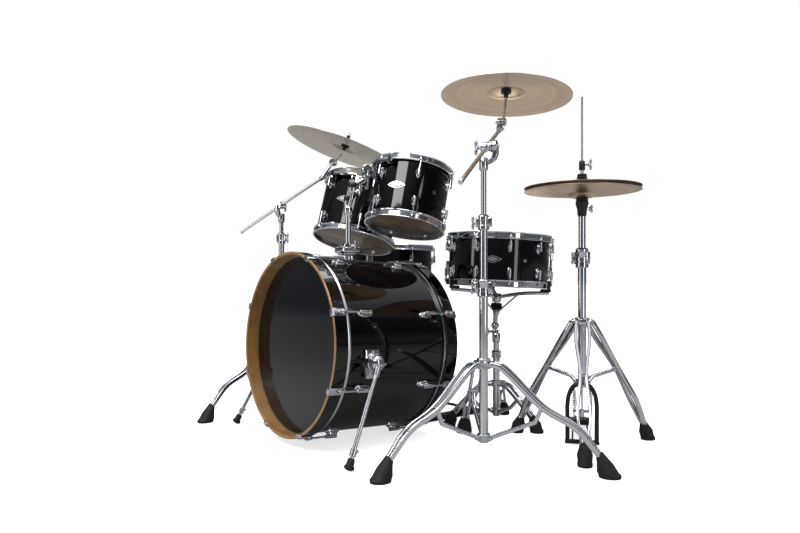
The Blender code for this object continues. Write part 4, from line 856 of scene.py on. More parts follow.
def draw_tom_arm(name, drum, centre, body):
    """Ball and L-rod, then a clamp on the curved bracket that hangs the drum from its rods."""
    place = standing(drum["centre"], drum["axis"])
    half, inner = drum["depth"] / 2, drum["radius"] + 0.0205
    local = place.inverted() @ centre
    facing = math.degrees(math.atan2(local.y, local.x))
    arm = Piece("chrome")
    level, tall, outer = half - 0.018, 0.0150, inner + 0.0032
    edge = [(inner, -tall / 2), (outer, -tall / 2), (outer + 0.0012, 0), (outer, tall / 2), (inner, tall / 2)]
    rows = []
    for k in range(25):
        a = facing - 46 + 92 * k / 24
        rows.append(arm.row([place @ around(r, a, level + z) for r, z in edge]))
    arm.skin(rows, caps=True)
    turn = place @ turn_z(facing)
    for a in (-42, 42):
        where = place @ turn_z(facing + a)
        arm.use("rubber").rod((inner + 0.002, 0, half - 0.030), (inner + 0.002, 0, half - 0.009), 0.0062,
                              sides=20, place=where)
        arm.use("chrome").rod((inner + 0.002, 0, half - 0.0335), (inner + 0.002, 0, half - 0.030), 0.0052,
                              sides=6, place=where)
    arm.use("cast_chrome")
    arm.slab((0.0045, 0.030, 0.066), (inner + 0.0055, 0, half - 0.044), turn, 0.002)
    arm.slab((0.020, 0.038, 0.044), (inner + 0.0150, 0, half - 0.042), turn, 0.005)
    arm.turned([(0.0150, -0.012), (0.0168, -0.008), (0.0168, 0.010), (0.0140, 0.013)],
               turn @ pointing((inner + 0.0150, 0.006, half - 0.040), (0, 1, 0)), 32)
    key = turn @ pointing((inner + 0.0150, -0.019, half - 0.040), (0, -1, 0))
    arm.use("chrome").rod((0, 0, 0), (0, 0, 0.012), 0.0038, place=key)
    arm.use("cast_chrome").slab((0.007, 0.030, 0.006), (0, 0, 0.013), key, 0.0028)
    hold = place @ around(inner + 0.0160, facing, half - 0.040)
    elbow = Vector((hold.x, hold.y, centre.z))
    bend = elbow.lerp(hold, 0.5)
    arm.use("nylon").ball(centre, 0.0135)
    arm.use("chrome").tube([centre, centre.lerp(bend, 0.80), bend.lerp(hold, 0.05), bend.lerp(hold, 0.35),
                            hold], 0.0060, 20)
    arm.use("cast_chrome").rod(centre.lerp(bend, 0.22), centre.lerp(bend, 0.34), 0.0105, sides=28)
    arm.done(name, body, "chrome", name)


# ---------------------------------------------------------------- stands
def draw_foot(piece, post, angle, ankle, reach, width):
    """A flared rubber foot: round at the strap's end, then spread flat on the floor."""
    toe, along, across = post + around(reach, angle), around(1, angle), around(1, angle + 90)
    top = post + around(ankle[0], angle) + UP * ankle[1]
    lean = along * 0.55 + UP * 0.62
    piece.use("rubber")
    rows = [piece.row([top - lean * 0.006 + across * 0.010 * math.cos(a) + lean * 0.0105 * math.sin(a)
                       for a in (math.tau * k / 28 for k in range(28))])]
    for t, grow, high in ((0.0, 0.0140, None), (0.25, 0.0175, None), (0.55, 0.022, None),
                           (0.80, width, 0.013), (1.0, width * 1.06, 0.007), (1.0, width * 1.02, 0.0),
                           (1.0, width * 0.6, 0.0)):
        middle = top.lerp(toe + UP * (high or 0.010), t)
        ring = []
        for k in range(28):
            a = math.tau * k / 28
            upward = lean.lerp(along * 1.12, min(t * 1.25, 1.0))
            point = middle + across * grow * math.cos(a) + upward * grow * math.sin(a)
            if high is not None:
                point.z = high + (0.004 * (1 - t) if t < 1 else 0)
            point.z = max(point.z, 0.0)
            ring.append(point)
        rows.append(piece.row(ring))
    piece.skin(rows, caps=True)


def draw_upright(piece, post, ends, radius, sides):
    """A tube of a stand between two heights."""
    piece.rod(post + UP * ends[0], post + UP * ends[1], radius, sides=sides)


def draw_collar(piece, post, low, high, radius):
    """A cast collar with a waist groove and softened ends."""
    span = high - low
    outline = [(radius - 0.002, 0), (radius, 0.002), (radius, span * 0.30), (radius - 0.0012, span * 0.34),
               (radius - 0.0012, span * 0.66), (radius, span * 0.70), (radius, span - 0.002),
               (radius - 0.002, span)]
    piece.use("cast_chrome").turned(outline, Matrix.Translation(post + UP * low), 40)


def draw_tripod(piece, post, first, reach, leg, stay, collars, foot_width):
    """Three double-braced legs with rivets, stays and rubber feet, and the two collars they hinge on."""
    for collar in collars:
        draw_collar(piece, post, *collar)
    for index in range(3):
        angle = first + 120 * index
        across = around(1, angle + 90)
        for side in (-1, 1):
            line = [post + around(out, angle, high) + across * (side * half) for out, high, half in leg]
            piece.use("chrome").tube(line, 0.0048, 16, across=across, height=0.0076)
        for out, high, half in (leg[0], leg[-3], leg[-1]):
            spot = post + around(out, angle, high)
            piece.rod(spot - across * (half + 0.0085), spot + across * (half + 0.0085), 0.0036, sides=16)
        brace = [post + around(out, angle, high) for out, high in stay]
        piece.tube(brace, 0.0064, 16, smooth=False, across=across, height=0.0060)
        turn = turn_z(angle, post)
        lug_out, lug_high, lug_half = leg[0]
        piece.use("cast_chrome").slab((0.022, 2 * lug_half - 0.010, 0.017), (lug_out - 0.006, 0, lug_high),
                                      turn, 0.003)
        foot_out, foot_high = stay[0]
        for way in (-1, 1):
            piece.slab((0.014, 0.0035, 0.012), (foot_out + 0.003, way * 0.0068, foot_high), turn, 0.0012)
        draw_foot(piece, post, angle, leg[-1][:2], reach, foot_width)
    key = turn_z(first + 60, post)
    low, high, out = collars[0]
    middle = (low + high) / 2
    piece.use("chrome").rod((out - 0.003, 0, middle), (out + 0.010, 0, middle), 0.0040, place=key)
    piece.use("cast_chrome").rod((out + 0.008, 0, middle), (out + 0.015, 0, middle), 0.0105, 0.0085, sides=8,
                                 place=key)


def draw_clamp(piece, post, low, high, radius, angle):
    """A height clamp: split collar, wing bolt, hinge ear, and the nylon bushing on top."""
    draw_collar(piece, post, low, high - 0.003, radius)
    piece.use("nylon").rod(post + UP * (high - 0.004), post + UP * high, radius - 0.003, sides=36)
    draw_wing(piece, post, (low + high) / 2, angle, radius, 1.2)
    for turn in (turn_z(angle, post), turn_z(angle + 180, post)):
        piece.use("cast_chrome").slab((0.014, 0.011, (high - low) * 0.62),
                                      (radius + 0.001, 0, (low + high) / 2), turn, 0.003)


def toothed(piece, place, radius, thickness, teeth=28):
    """A ratchet disc: a drum with radial teeth on its face, which is at the place's origin, facing -Z."""
    piece.use("cast_chrome").turned([(radius - 0.001, 0.0006), (radius, 0.0016), (radius, thickness - 0.001),
                                     (radius - 0.001, thickness)], place, 40)
    tooth = Piece("cast_chrome").slab((radius * 0.38, 0.0012, 0.0012), (0, 0, 0), bevel=0.0003)
    piece.add(ringed(tooth, teeth, radius * 0.74, 0, 0.0007, "cast_chrome"), place)


def draw_boom_stand(name, post, first, bolt_angle, arm, cymbal, bronze):
    """A tripod, two sliding stages, the boom in its ratchet, the tilter and its cymbal."""
    tail, pivot, tip, tilter = (Vector(point) for point in arm)
    flat = Vector((tip.x - pivot.x, tip.y - pivot.y, 0)).normalized()
    axle = flat.cross(UP)
    tilt_axle = axle if (cymbal["centre"] - tilter).dot(axle) > 0 else -axle

    base = Piece("chrome")
    draw_upright(base, post, BOOM_LOWER, LOW_TUBE, 40)
    draw_clamp(base, post, *BOOM_LOWER_CLAMP, bolt_angle)
    draw_tripod(base, post, first, BOOM_REACH, BOOM_LEG, BOOM_STAY, BOOM_COLLARS, 0.025)
    base.done(f"{name}_tripod", "root", "chrome", f"{name}_stand_base")

    middle = Piece("chrome")
    draw_upright(middle, post, BOOM_MIDDLE, MID_TUBE, 36)
    draw_clamp(middle, post, *BOOM_MIDDLE_CLAMP, bolt_angle)
    middle.done(f"{name}_middle_stage", f"{name}_middle", "chrome", f"{name}_middle_tube")

    top = Piece("chrome")
    draw_upright(top, post, (BOOM_UPPER_FOOT, pivot.z - 0.040), TOP_TUBE, 32)
    shoulder = Vector((post.x, post.y, pivot.z - 0.046))
    cheek = pivot + axle * (BARREL_HALF + 0.0078)
    top.use("cast_chrome").turned([(0.0105, -0.022), (0.0125, -0.018), (0.0125, 0.010), (0.0100, 0.014)],
                                  Matrix.Translation(shoulder), 32)
    foot = Vector((cheek.x, cheek.y, shoulder.z + 0.010))
    top.tube([shoulder, shoulder.lerp(foot, 0.7) - UP * 0.001, foot.lerp(cheek, 0.35), cheek], 0.0078, 18,
             across=axle, height=0.0095)
    face = pointing(pivot + axle * (BARREL_HALF + 0.0004), axle)
    toothed(top, face, 0.0172, 0.0120)
    top.use("chrome").rod((0, 0, 0.010), (0, 0, 0.018), 0.0046, sides=6, place=face)
    top.done(f"{name}_top_stage", f"{name}_top", "chrome", f"{name}_top_tube")

    boom = Piece("chrome")
    line = (tip - pivot).normalized()
    boom.rod(tail, tip, 0.0055, sides=28)
    boom.use("cast_chrome").rod(tail - line * 0.002, tail + line * 0.010, 0.0066, sides=24)
    boom.use("cast_chrome").rod(pivot - axle * BARREL_HALF, pivot + axle * (BARREL_HALF - 0.004), 0.0125,
                                sides=36)
    toothed(boom, pointing(pivot + axle * BARREL_HALF, -axle), 0.0165, 0.0060)
    boom.rod(pivot - line * 0.018, pivot + line * 0.018, 0.0102, sides=28)
    key = pointing(pivot - axle * BARREL_HALF, -axle)
    boom.use("chrome").rod((0, 0, -0.002), (0, 0, 0.012), 0.0045, place=key)
    boom.use("cast_chrome").rod((0, 0, 0.006), (0, 0, 0.016), 0.0070, 0.0056, sides=20, place=key)
    for way in (-1, 1):
        boom.ball((0, way * 0.0115, 0.015), 1, key, (0.0042, 0.0115, 0.0046), 14)
    boom.rod(tip - line * 0.018, tip + line * 0.005, 0.0085, sides=28)
    boom.use("chrome").rod(tip - line * 0.010 + axle * 0.006, tip - line * 0.010 + axle * 0.014, 0.0032,
                           sides=6)
    neck = tilter - tilt_axle * 0.0070
    boom.use("cast_chrome").tube([tip - tilt_axle * 0.0060, (tip - tilt_axle * 0.0065).lerp(neck, 0.5),
                                  neck], 0.0068, 18)
    toothed(boom, pointing(tilter - tilt_axle * 0.0004, -tilt_axle), 0.0135, 0.0110, 24)
    boom.use("chrome").rod(tilter - tilt_axle * 0.010, tilter - tilt_axle * 0.019, 0.0042, sides=6)
    boom.done(f"{name}_boom_rod", f"{name}_boom", "chrome", f"{name}_boom_arm")

    up, centre = cymbal["axis"], cymbal["centre"]
    seat = centre + up * (cymbal["rise"] - CYMBAL_THICKNESS - 0.0024)
    nod = Piece("cast_chrome")
    toothed(nod, pointing(tilter + tilt_axle * 0.0004, tilt_axle), 0.0135, 0.0090, 24)
    side, low = tilter + tilt_axle * 0.0050, seat - up * 0.038
    nod.use("chrome").tube([side, side.lerp(low, 0.5) + up * 0.004, low, seat - up * 0.010,
                            seat + up * 0.046], 0.0040, 18)
    for way in (-1, 1):
        nod.use("cast_chrome").ball(side + tilt_axle * 0.006 + up * way * 0.005, 1,
                                    squash=(0.0045, 0.0045, 0.0065), sides=14)
    stem = pointing(seat, up)
    nod.use("nylon").turned([(0.0060, -0.026), (0.0070, -0.024), (0.0070, -0.014), (0.0160, -0.013),
                             (0.0165, -0.011), (0.0155, -0.0095)], stem, 36)
    nod.use("felt").turned([(0.0150, -0.0095), (0.0160, -0.0080), (0.0160, -0.0012), (0.0148, 0)], stem, 36)
    nod.use("nylon").rod((0, 0, 0), (0, 0, 0.0060), 0.0054, place=stem)
    nod.use("felt").turned([(0.0135, 0.0080), (0.0145, 0.0092), (0.0140, 0.0150), (0.0125, 0.0165)], stem, 36)
    nod.use("nylon").turned([(0.0105, 0.0165), (0.0115, 0.0180), (0.0100, 0.0240), (0.0070, 0.0250),
                             (0.0066, 0.0360)], stem, 32)
    for way in (-1, 1):
        nod.ball((way * 0.0100, 0, 0.0290), 1, stem, (0.0085, 0.0034, 0.0055), 16)
    nod.done(f"{name}_cymbal_tilt_post", f"{name}_tilter", "chrome", f"{name}_cymbal_tilter")
    draw_cymbal(f"{name}_cymbal_plate", cymbal, standing(centre, up), bronze, f"{name}_plate",
                f"{name}_cymbal")


def draw_cymbal(name, cymbal, place, bronze, body, node):
    """A spun plate: a hole, a domed bell with a crisp root, and a bow that flattens to a rolled edge."""
    radius, bell, rise, thick = cymbal["radius"], cymbal["bell"], cymbal["rise"], CYMBAL_THICKNESS
    bow = rise * 0.42
    top = []
    for step in range(11):
        t = step / 10
        top.append((CYMBAL_HOLE + (bell - CYMBAL_HOLE) * t,
                    bow + (rise - bow) * math.cos(t * math.pi / 2) ** 0.8))
    for step in range(1, 17):
        t = step / 16
        top.append((bell + (radius - bell) * t, bow * (1 - t ** 1.6)))
    under = [(r, z - thick) for r, z in top]
    plate = Piece(bronze)
    plate.lathe(top + [(radius + 0.0002, -thick / 2)] + under[::-1], place, CYMBAL_STEPS)
    plate.done(name, body, "cymbal_bronze", node)


# ---------------------------------------------------------------- hi-hat
PEDAL_AZIMUTH = HIHAT_LEGS + 180
HEEL_OUT, ARCH_HALF, ARCH_TOP = 0.275, 0.044, 0.186
SPRING_HALF = 0.024                       # the hi-hat's springs either side of its post
WIDEST_AT, BOARD_THICKNESS = 0.45, 0.007  # a footboard's widest point along it, and its plate


def draw_board(piece, place, length, rise, width):
    """A footboard, waisted at the heel, with a raised border and rows of round grip studs."""
    half = width / 2
    rows = []
    for k in range(17):
        t = k / 16
        if t < WIDEST_AT:
            side = half * (0.50 + 0.50 * math.sin(min(t / WIDEST_AT, 1) * math.pi / 2))
        else:
            side = half * (1 - 0.20 * (t - WIDEST_AT) / 0.55)
        ring = [(-side, -BOARD_THICKNESS), (-side, 0.0), (-side + 0.003, 0.0012), (-side + 0.005, 0.0),
                (side - 0.005, 0.0), (side - 0.003, 0.0012), (side, 0.0), (side, -BOARD_THICKNESS)]
        rows.append(piece.row([place @ Vector((0.002 + (length - 0.002) * t, y, rise * t + z))
                               for y, z in ring]))
    piece.skin(rows, caps=True)
    slope = math.atan2(rise, length)
    unit = Piece("rubber").rod((0, 0, -0.001), (0, 0, 0.0018), 0.0034, sides=12).mesh()
    piece.use("rubber")
    for step in range(9):
        t = 0.22 + 0.08 * step
        for y in (-0.6, -0.2, 0.2, 0.6):
            spot = Matrix.Translation((length * t, y * half * 0.86, rise * t))
            piece.add(unit.copy(), place @ (spot @ Matrix.Rotation(-slope, 4, "Y")))
    bpy.data.meshes.remove(unit)


def draw_coil(piece, a, b, radius, wire, turns):
    """A helical spring between two points."""
    a, b = Vector(a), Vector(b)
    place = pointing(a, b - a)
    length, count = (b - a).length, turns * 14
    line = []
    for k in range(count + 1):
        angle = math.tau * turns * k / count
        line.append(place @ Vector((radius * math.cos(angle), radius * math.sin(angle), length * k / count)))
    piece.tube(line, wire, 8, smooth=False)


def draw_hihat():
    """Stand, spring arch, foot pedal, pull rod, upper tube with the seat, clutch and both cymbals."""
    post, place = HIHAT_POST, turn_z(PEDAL_AZIMUTH, HIHAT_POST)
    base = Piece("chrome")
    draw_upright(base, post, HIHAT_LOWER, LOW_TUBE, 40)
    draw_clamp(base, post, *HIHAT_CLAMP, HIHAT_BOLT)
    draw_tripod(base, post, HIHAT_LEGS, HIHAT_REACH, HIHAT_LEG, HIHAT_STAY, HIHAT_COLLARS, 0.020)
    arch = [(0, side, high) for side, high in
            ((-ARCH_HALF, 0.010), (-ARCH_HALF, 0.070), (-ARCH_HALF, 0.125), (-ARCH_HALF * 0.84, 0.162),
             (-0.018, ARCH_TOP), (0.018, ARCH_TOP), (ARCH_HALF * 0.84, 0.162), (ARCH_HALF, 0.125),
             (ARCH_HALF, 0.070), (ARCH_HALF, 0.010))]
    base.use("black_steel").tube(arch, 0.0085, 16, place, across=(1, 0, 0), height=0.0068)
    base.slab((0.024, 2 * ARCH_HALF + 0.016, 0.010), (0, 0, 0.0085), place, 0.0025)
    base.use("chrome")
    for side in (-1, 1):
        y = side * SPRING_HALF
        base.rod((0, side * 0.030, 0.009), (HEEL_OUT, side * 0.022, 0.009), 0.0030, place=place)
        base.use("wire")
        draw_coil(base, place @ Vector((0, y, 0.110)), place @ Vector((0, y, 0.166)), 0.0070, 0.0011, 11)
        base.use("chrome").rod((0, y, 0.060), (0, y, 0.176), 0.0024, place=place)
    base.use("black_steel").slab((0.075, 0.078, 0.012), (HEEL_OUT + 0.022, 0, 0.0095), place, 0.003)
    for side in (-1, 1):
        base.slab((0.018, 0.012, 0.022), (HEEL_OUT + 0.004, side * 0.030, 0.018), place, 0.002)
    base.use("chrome").rod((HEEL_OUT, -0.036, 0.028), (HEEL_OUT, 0.036, 0.028), 0.0030, place=place)
    base.done("hihat_tripod", "root", "chrome", "hihat_stand_base")

    heel = place @ Vector((HEEL_OUT, 0, 0.030))
    board = Piece("black_steel")
    toward = turn_z(PEDAL_AZIMUTH + 180, heel)
    draw_board(board, toward, HEEL_OUT + 0.014, 0.050, 0.074)
    board.use("black_steel").rod((0, -0.018, -0.002), (0, 0.018, -0.002), 0.0060, place=toward)
    board.use("chrome")
    draw_coil(board, post + UP * 0.082 - UP * 0.004, post + UP * 0.100, 0.0034, 0.0013, 3)
    board.done("hihat_foot_pedal", "hihat_pedal", "black_steel", "hihat_footboard")

    pull = Piece("chrome")
    draw_upright(pull, post, HIHAT_PULL_ROD, 0.0030, 20)
    pull.rod(post + UP * 0.087, post + UP * 0.110, 0.0078, 0.0070, sides=28)
    pull.use("cast_chrome").slab((0.010, 2 * SPRING_HALF + 0.010, 0.008), (0, 0, 0.104), place, 0.002)
    pull.done("hihat_centre_rod", "hihat_rod", "chrome", "hihat_pull_rod")

    low_rim, high_rim = HIHAT_RIMS
    seat = low_rim - HIHAT["rise"] - 0.0006
    column = Piece("chrome")
    draw_upright(column, post, (HIHAT_UPPER_FOOT, seat - 0.030), MID_TUBE, 36)
    cup = Matrix.Translation(post + UP * seat)
    column.use("nylon").turned([(0.0115, -0.054), (0.0135, -0.050), (0.0150, -0.032), (0.0195, -0.016),
                                (0.0200, -0.010),
                                      (0.0185, -0.008)], cup, 40)
    column.use("felt").turned([(0.0175, -0.008), (0.0188, -0.0065), (0.0188, -0.0008), (0.0175, 0)], cup, 36)
    draw_wing(column, post, seat - 0.030, 60, 0.0150, 0.7)
    column.done("hihat_upper_stage", "hihat_column", "chrome", "hihat_top_tube")
    upside_down = Matrix.Translation(post + UP * low_rim) @ UPSIDE_DOWN
    draw_cymbal("hihat_lower_plate", HIHAT, upside_down, "hihat_bronze", "hihat_column",
                "hihat_bottom_cymbal")

    top = high_rim + HIHAT["rise"]
    stem = Matrix.Translation(post + UP * top)
    clutch = Piece("chrome")
    clutch.lathe([(0.0052, 0.062), (0.0052, -0.012), (0.0033, -0.012), (0.0033, 0.062)], stem, 28)
    clutch.use("cast_chrome").turned([(0.0100, -0.0140), (0.0110, -0.0125), (0.0108, -0.0045),
                                      (0.0100, -0.0034)], stem, 32)
    clutch.use("felt").turned([(0.0150, 0.0008), (0.0162, 0.0020), (0.0158, 0.0082), (0.0148, 0.0092)], stem,
                              36)
    clutch.use("nylon").turned([(0.0140, 0.0092), (0.0148, 0.0105), (0.0148, 0.0160), (0.0110, 0.0185)],
                               stem, 36)
    clutch.turned([(0.0080, 0.0300), (0.0094, 0.0320), (0.0094, 0.0560), (0.0080, 0.0580)], stem, 32)
    draw_wing(clutch, post, top + 0.048, 40, 0.0090, 1.1)
    clutch.done("hihat_clutch_body", "hihat_hanger", "chrome", "hihat_clutch")
    draw_cymbal("hihat_upper_plate", HIHAT, Matrix.Translation(post + UP * high_rim), "hihat_bronze",
                "hihat_hanger",
                "hihat_top_cymbal")


# ---------------------------------------------------------------- snare drum and its stand
SNARE_ARMS = (19.5, -100.5, 139.5)
SNARE_BALL = Vector((0.1668, 0.5309, 0.346))
HUB_DROP, STRAINER_ANGLE = 0.130, 55.5    # the basket's hub under the drum's middle; the strainer's bearing


def draw_snare_stand():
    """Tripod, upper tube with its ball socket, and the three-armed basket."""
    post = SNARE_POST
    base = Piece("chrome")
    draw_upright(base, post, SNARE_LOWER, LOW_TUBE, 40)
    draw_clamp(base, post, *SNARE_CLAMP, SNARE_BOLT)
    draw_tripod(base, post, SNARE_LEGS, SNARE_REACH, SNARE_LEG, SNARE_STAY, SNARE_COLLARS, 0.020)
    base.done("snare_tripod", "root", "chrome", "snare_stand_base")

    column = Piece("chrome")
    socket = SNARE_BALL - UP * 0.0185
    draw_upright(column, post, SNARE_UPPER, MID_TUBE, 36)
    column.use("cast_chrome").turned([(0.0125, 0.290), (0.0148, 0.294), (0.0148, 0.318), (0.0120, 0.323)],
                                     Matrix.Translation(post), 32)
    column.tube([post + UP * 0.308, (post + UP * 0.308).lerp(socket, 0.5), socket - UP * 0.006], 0.0088, 18)
    column.turned([(0.0095, -0.013), (0.0130, -0.009), (0.0132, 0.001), (0.0122, 0.0035)],
                  Matrix.Translation(socket), 32)
    draw_wing(column, socket, -0.004, 200, 0.0130)
    column.done("snare_column_tube", "snare_column", "chrome", "snare_top_tube")

    place = standing(SNARE["centre"], SNARE["axis"])
    rim_low = -(SNARE["depth"] / 2 + HOOP_RISE)
    rim_out = SNARE["radius"] + 0.0105
    ball = place.inverted() @ SNARE_BALL
    basket = Piece("cast_chrome")
    basket.ball(ball, 0.0145, place)
    basket.use("chrome").tube([ball, Vector((0, 0, -HUB_DROP))], 0.0090, 20, place, smooth=False)
    hub = place @ Matrix.Translation((0, 0, -HUB_DROP))
    basket.use("cast_chrome").turned([(0.0150, -0.020), (0.0168, -0.016), (0.0168, 0.008), (0.0140, 0.012)],
                                     hub, 36)
    basket.turned([(0.0105, -0.066), (0.0125, -0.063), (0.0125, -0.054), (0.0105, -0.051)], hub, 32)
    grip_nut = Piece("rubber").ball((0, 0, 0), 1, squash=(0.0045, 0.0035, 0.014), sides=12)
    basket.use("rubber").turned([(0.0150, -0.048), (0.0170, -0.044), (0.0170, -0.028), (0.0150, -0.024)],
                                hub, 32)
    basket.add(ringed(grip_nut, 12, 0.0165, 0, -0.036, "rubber"), hub)
    for angle in SNARE_ARMS:
        turn = place @ turn_z(angle)
        end = Vector((rim_out + 0.006, 0, rim_low - 0.014))
        line = [Vector((0.012, 0, -HUB_DROP)), Vector((end.x * 0.5, 0, -HUB_DROP + 0.016)), end]
        basket.use("chrome").tube(line, 0.0046, 16, turn, across=(0, 1, 0), height=0.0066)
        basket.tube([(0.004, 0, -HUB_DROP - 0.058), (end.x * 0.42, 0, -HUB_DROP + 0.012)], 0.0036, 14, turn,
                    smooth=False)
        basket.rod((end.x * 0.42, -0.008, -HUB_DROP + 0.012), (end.x * 0.42, 0.008, -HUB_DROP + 0.012),
                   0.0034, place=turn)
        basket.use("rubber").slab((0.036, 0.018, 0.0110), (rim_out - 0.005, 0, rim_low - 0.0068), turn, 0.004)
        basket.slab((0.0080, 0.018, 0.040), (rim_out + 0.0062, 0, rim_low + 0.008), turn, 0.0032)
    basket.done("snare_basket_arms", "snare_drum", "chrome", "snare_basket")


def draw_snare():
    """The drum with its strainer and butt plate, the throw-off lever and the wires."""
    place, shell = draw_drum("snare", SNARE, "snare_drum", badge=SNARE["first"] - 18)
    radius = SNARE["radius"]
    turn = place @ turn_z(STRAINER_ANGLE)
    shell.use("cast_chrome").slab((0.012, 0.032, 0.074), (radius + 0.005, 0, 0.0), turn, 0.003)
    for side in (-1, 1):
        shell.slab((0.012, 0.006, 0.020), (radius + 0.014, side * 0.011, 0.020), turn, 0.0015)
        shell.use("chrome").ball((radius + 0.011, side * 0.010, -0.030), 0.0034, turn)
        shell.use("cast_chrome")
    shell.rod((radius + 0.012, 0, -0.037), (radius + 0.012, 0, -0.052), 0.0062, sides=20, place=turn)
    butt = place @ turn_z(STRAINER_ANGLE + 180)
    shell.slab((0.012, 0.026, 0.036), (radius + 0.005, 0, -0.026), butt, 0.003)
    for side in (-1, 1):
        shell.use("chrome").ball((radius + 0.011, side * 0.008, -0.026), 0.0034, butt)
    shell.done("snare_drum_shell", "snare_drum", "black_lacquer", "snare_shell")

    lever = Piece("cast_chrome")
    lever.rod((radius + 0.0155, -0.0075, 0.022), (radius + 0.0155, 0.0075, 0.022), 0.0042, place=turn)
    lever.slab((0.0040, 0.0120, 0.058), (radius + 0.0178, 0, -0.008), turn, 0.0018)
    lever.use("rubber").slab((0.0050, 0.0130, 0.020), (radius + 0.0182, 0, -0.026), turn, 0.002)
    lever.done("snare_lever_arm", "snare_lever", "chrome", "snare_throw_off_lever")

    middle = -(SNARE["depth"] / 2 + 0.0020) - 0.0012
    wires = Piece("wire")
    for strand in range(20):
        y = -0.019 + 0.002 * strand
        coil = [(x * 0.002 - 0.118, y + 0.0006 * math.cos(x * 2.1), middle + 0.0006 * math.sin(x * 2.1))
                for x in range(119)]
        wires.tube([turn @ Vector(point) for point in coil], 0.00032, 4, smooth=False)
    for side in (-1, 1):
        wires.use("chrome").slab((0.014, 0.050, 0.0016), (side * 0.124, 0, middle), turn, 0.0006)
    wires.done("snare_wire_strands", "snare_strands", "snare_wire", "snare_wires")


# ---------------------------------------------------------------- floor tom legs
LEG_ANGLES = {"front": 20, "back": 140, "side": 260}
LEG_OUT = 0.026


def draw_floor_tom():
    """The drum with its three leg brackets, and the legs."""
    place, shell = draw_drum("floor_tom", FLOOR_TOM, "root", joined_bottom=True)
    radius = FLOOR_TOM["radius"]
    for name, angle in LEG_ANGLES.items():
        turn = place @ turn_z(angle)
        shell.use("cast_chrome").slab((0.014, 0.034, 0.062), (radius + 0.006, 0, -0.060), turn, 0.004)
        shell.lathe([(0.0125, 0.026), (0.0135, 0.022), (0.0135, -0.022), (0.0125, -0.026), (0.0053, -0.026),
                     (0.0053, 0.026)],
                    turn @ Matrix.Translation((radius + LEG_OUT, 0, -0.060)), 32)
        draw_wing(shell, place @ around(radius + LEG_OUT, angle), -0.060, angle, 0.0125, 1.1)
        spot = around(radius + LEG_OUT, angle) + Vector((FLOOR_TOM["centre"][0], FLOOR_TOM["centre"][1], 0))
        leg = Piece("chrome").rod(spot + UP * 0.02, spot + UP * 0.4995, 0.0050, sides=24)
        leg.use("cast_chrome").rod(spot + UP * 0.380, spot + UP * 0.386, 0.0110, sides=28)
        leg.use("rubber").turned([(0.0135, 0.001), (0.0150, 0.003), (0.0145, 0.014), (0.0110, 0.034),
                                  (0.0090, 0.045)],
                                 Matrix.Translation(spot), 32)
        leg.done(f"floor_leg_{name}_rod", f"floor_leg_{name}", "chrome", f"floor_tom_leg_{name}")
    shell.done("floor_tom_drum_shell", "root", "black_lacquer", "floor_tom_shell")


# ---------------------------------------------------------------- bass drum pedal
PEDAL_AXLE = Vector((0, 0.290, 0.178))
PEDAL_HEEL = Vector((0, 0.545, 0.026))
PEDAL_HALF, BEATER_REACH, BEATER_REST = 0.048, 0.195, 32


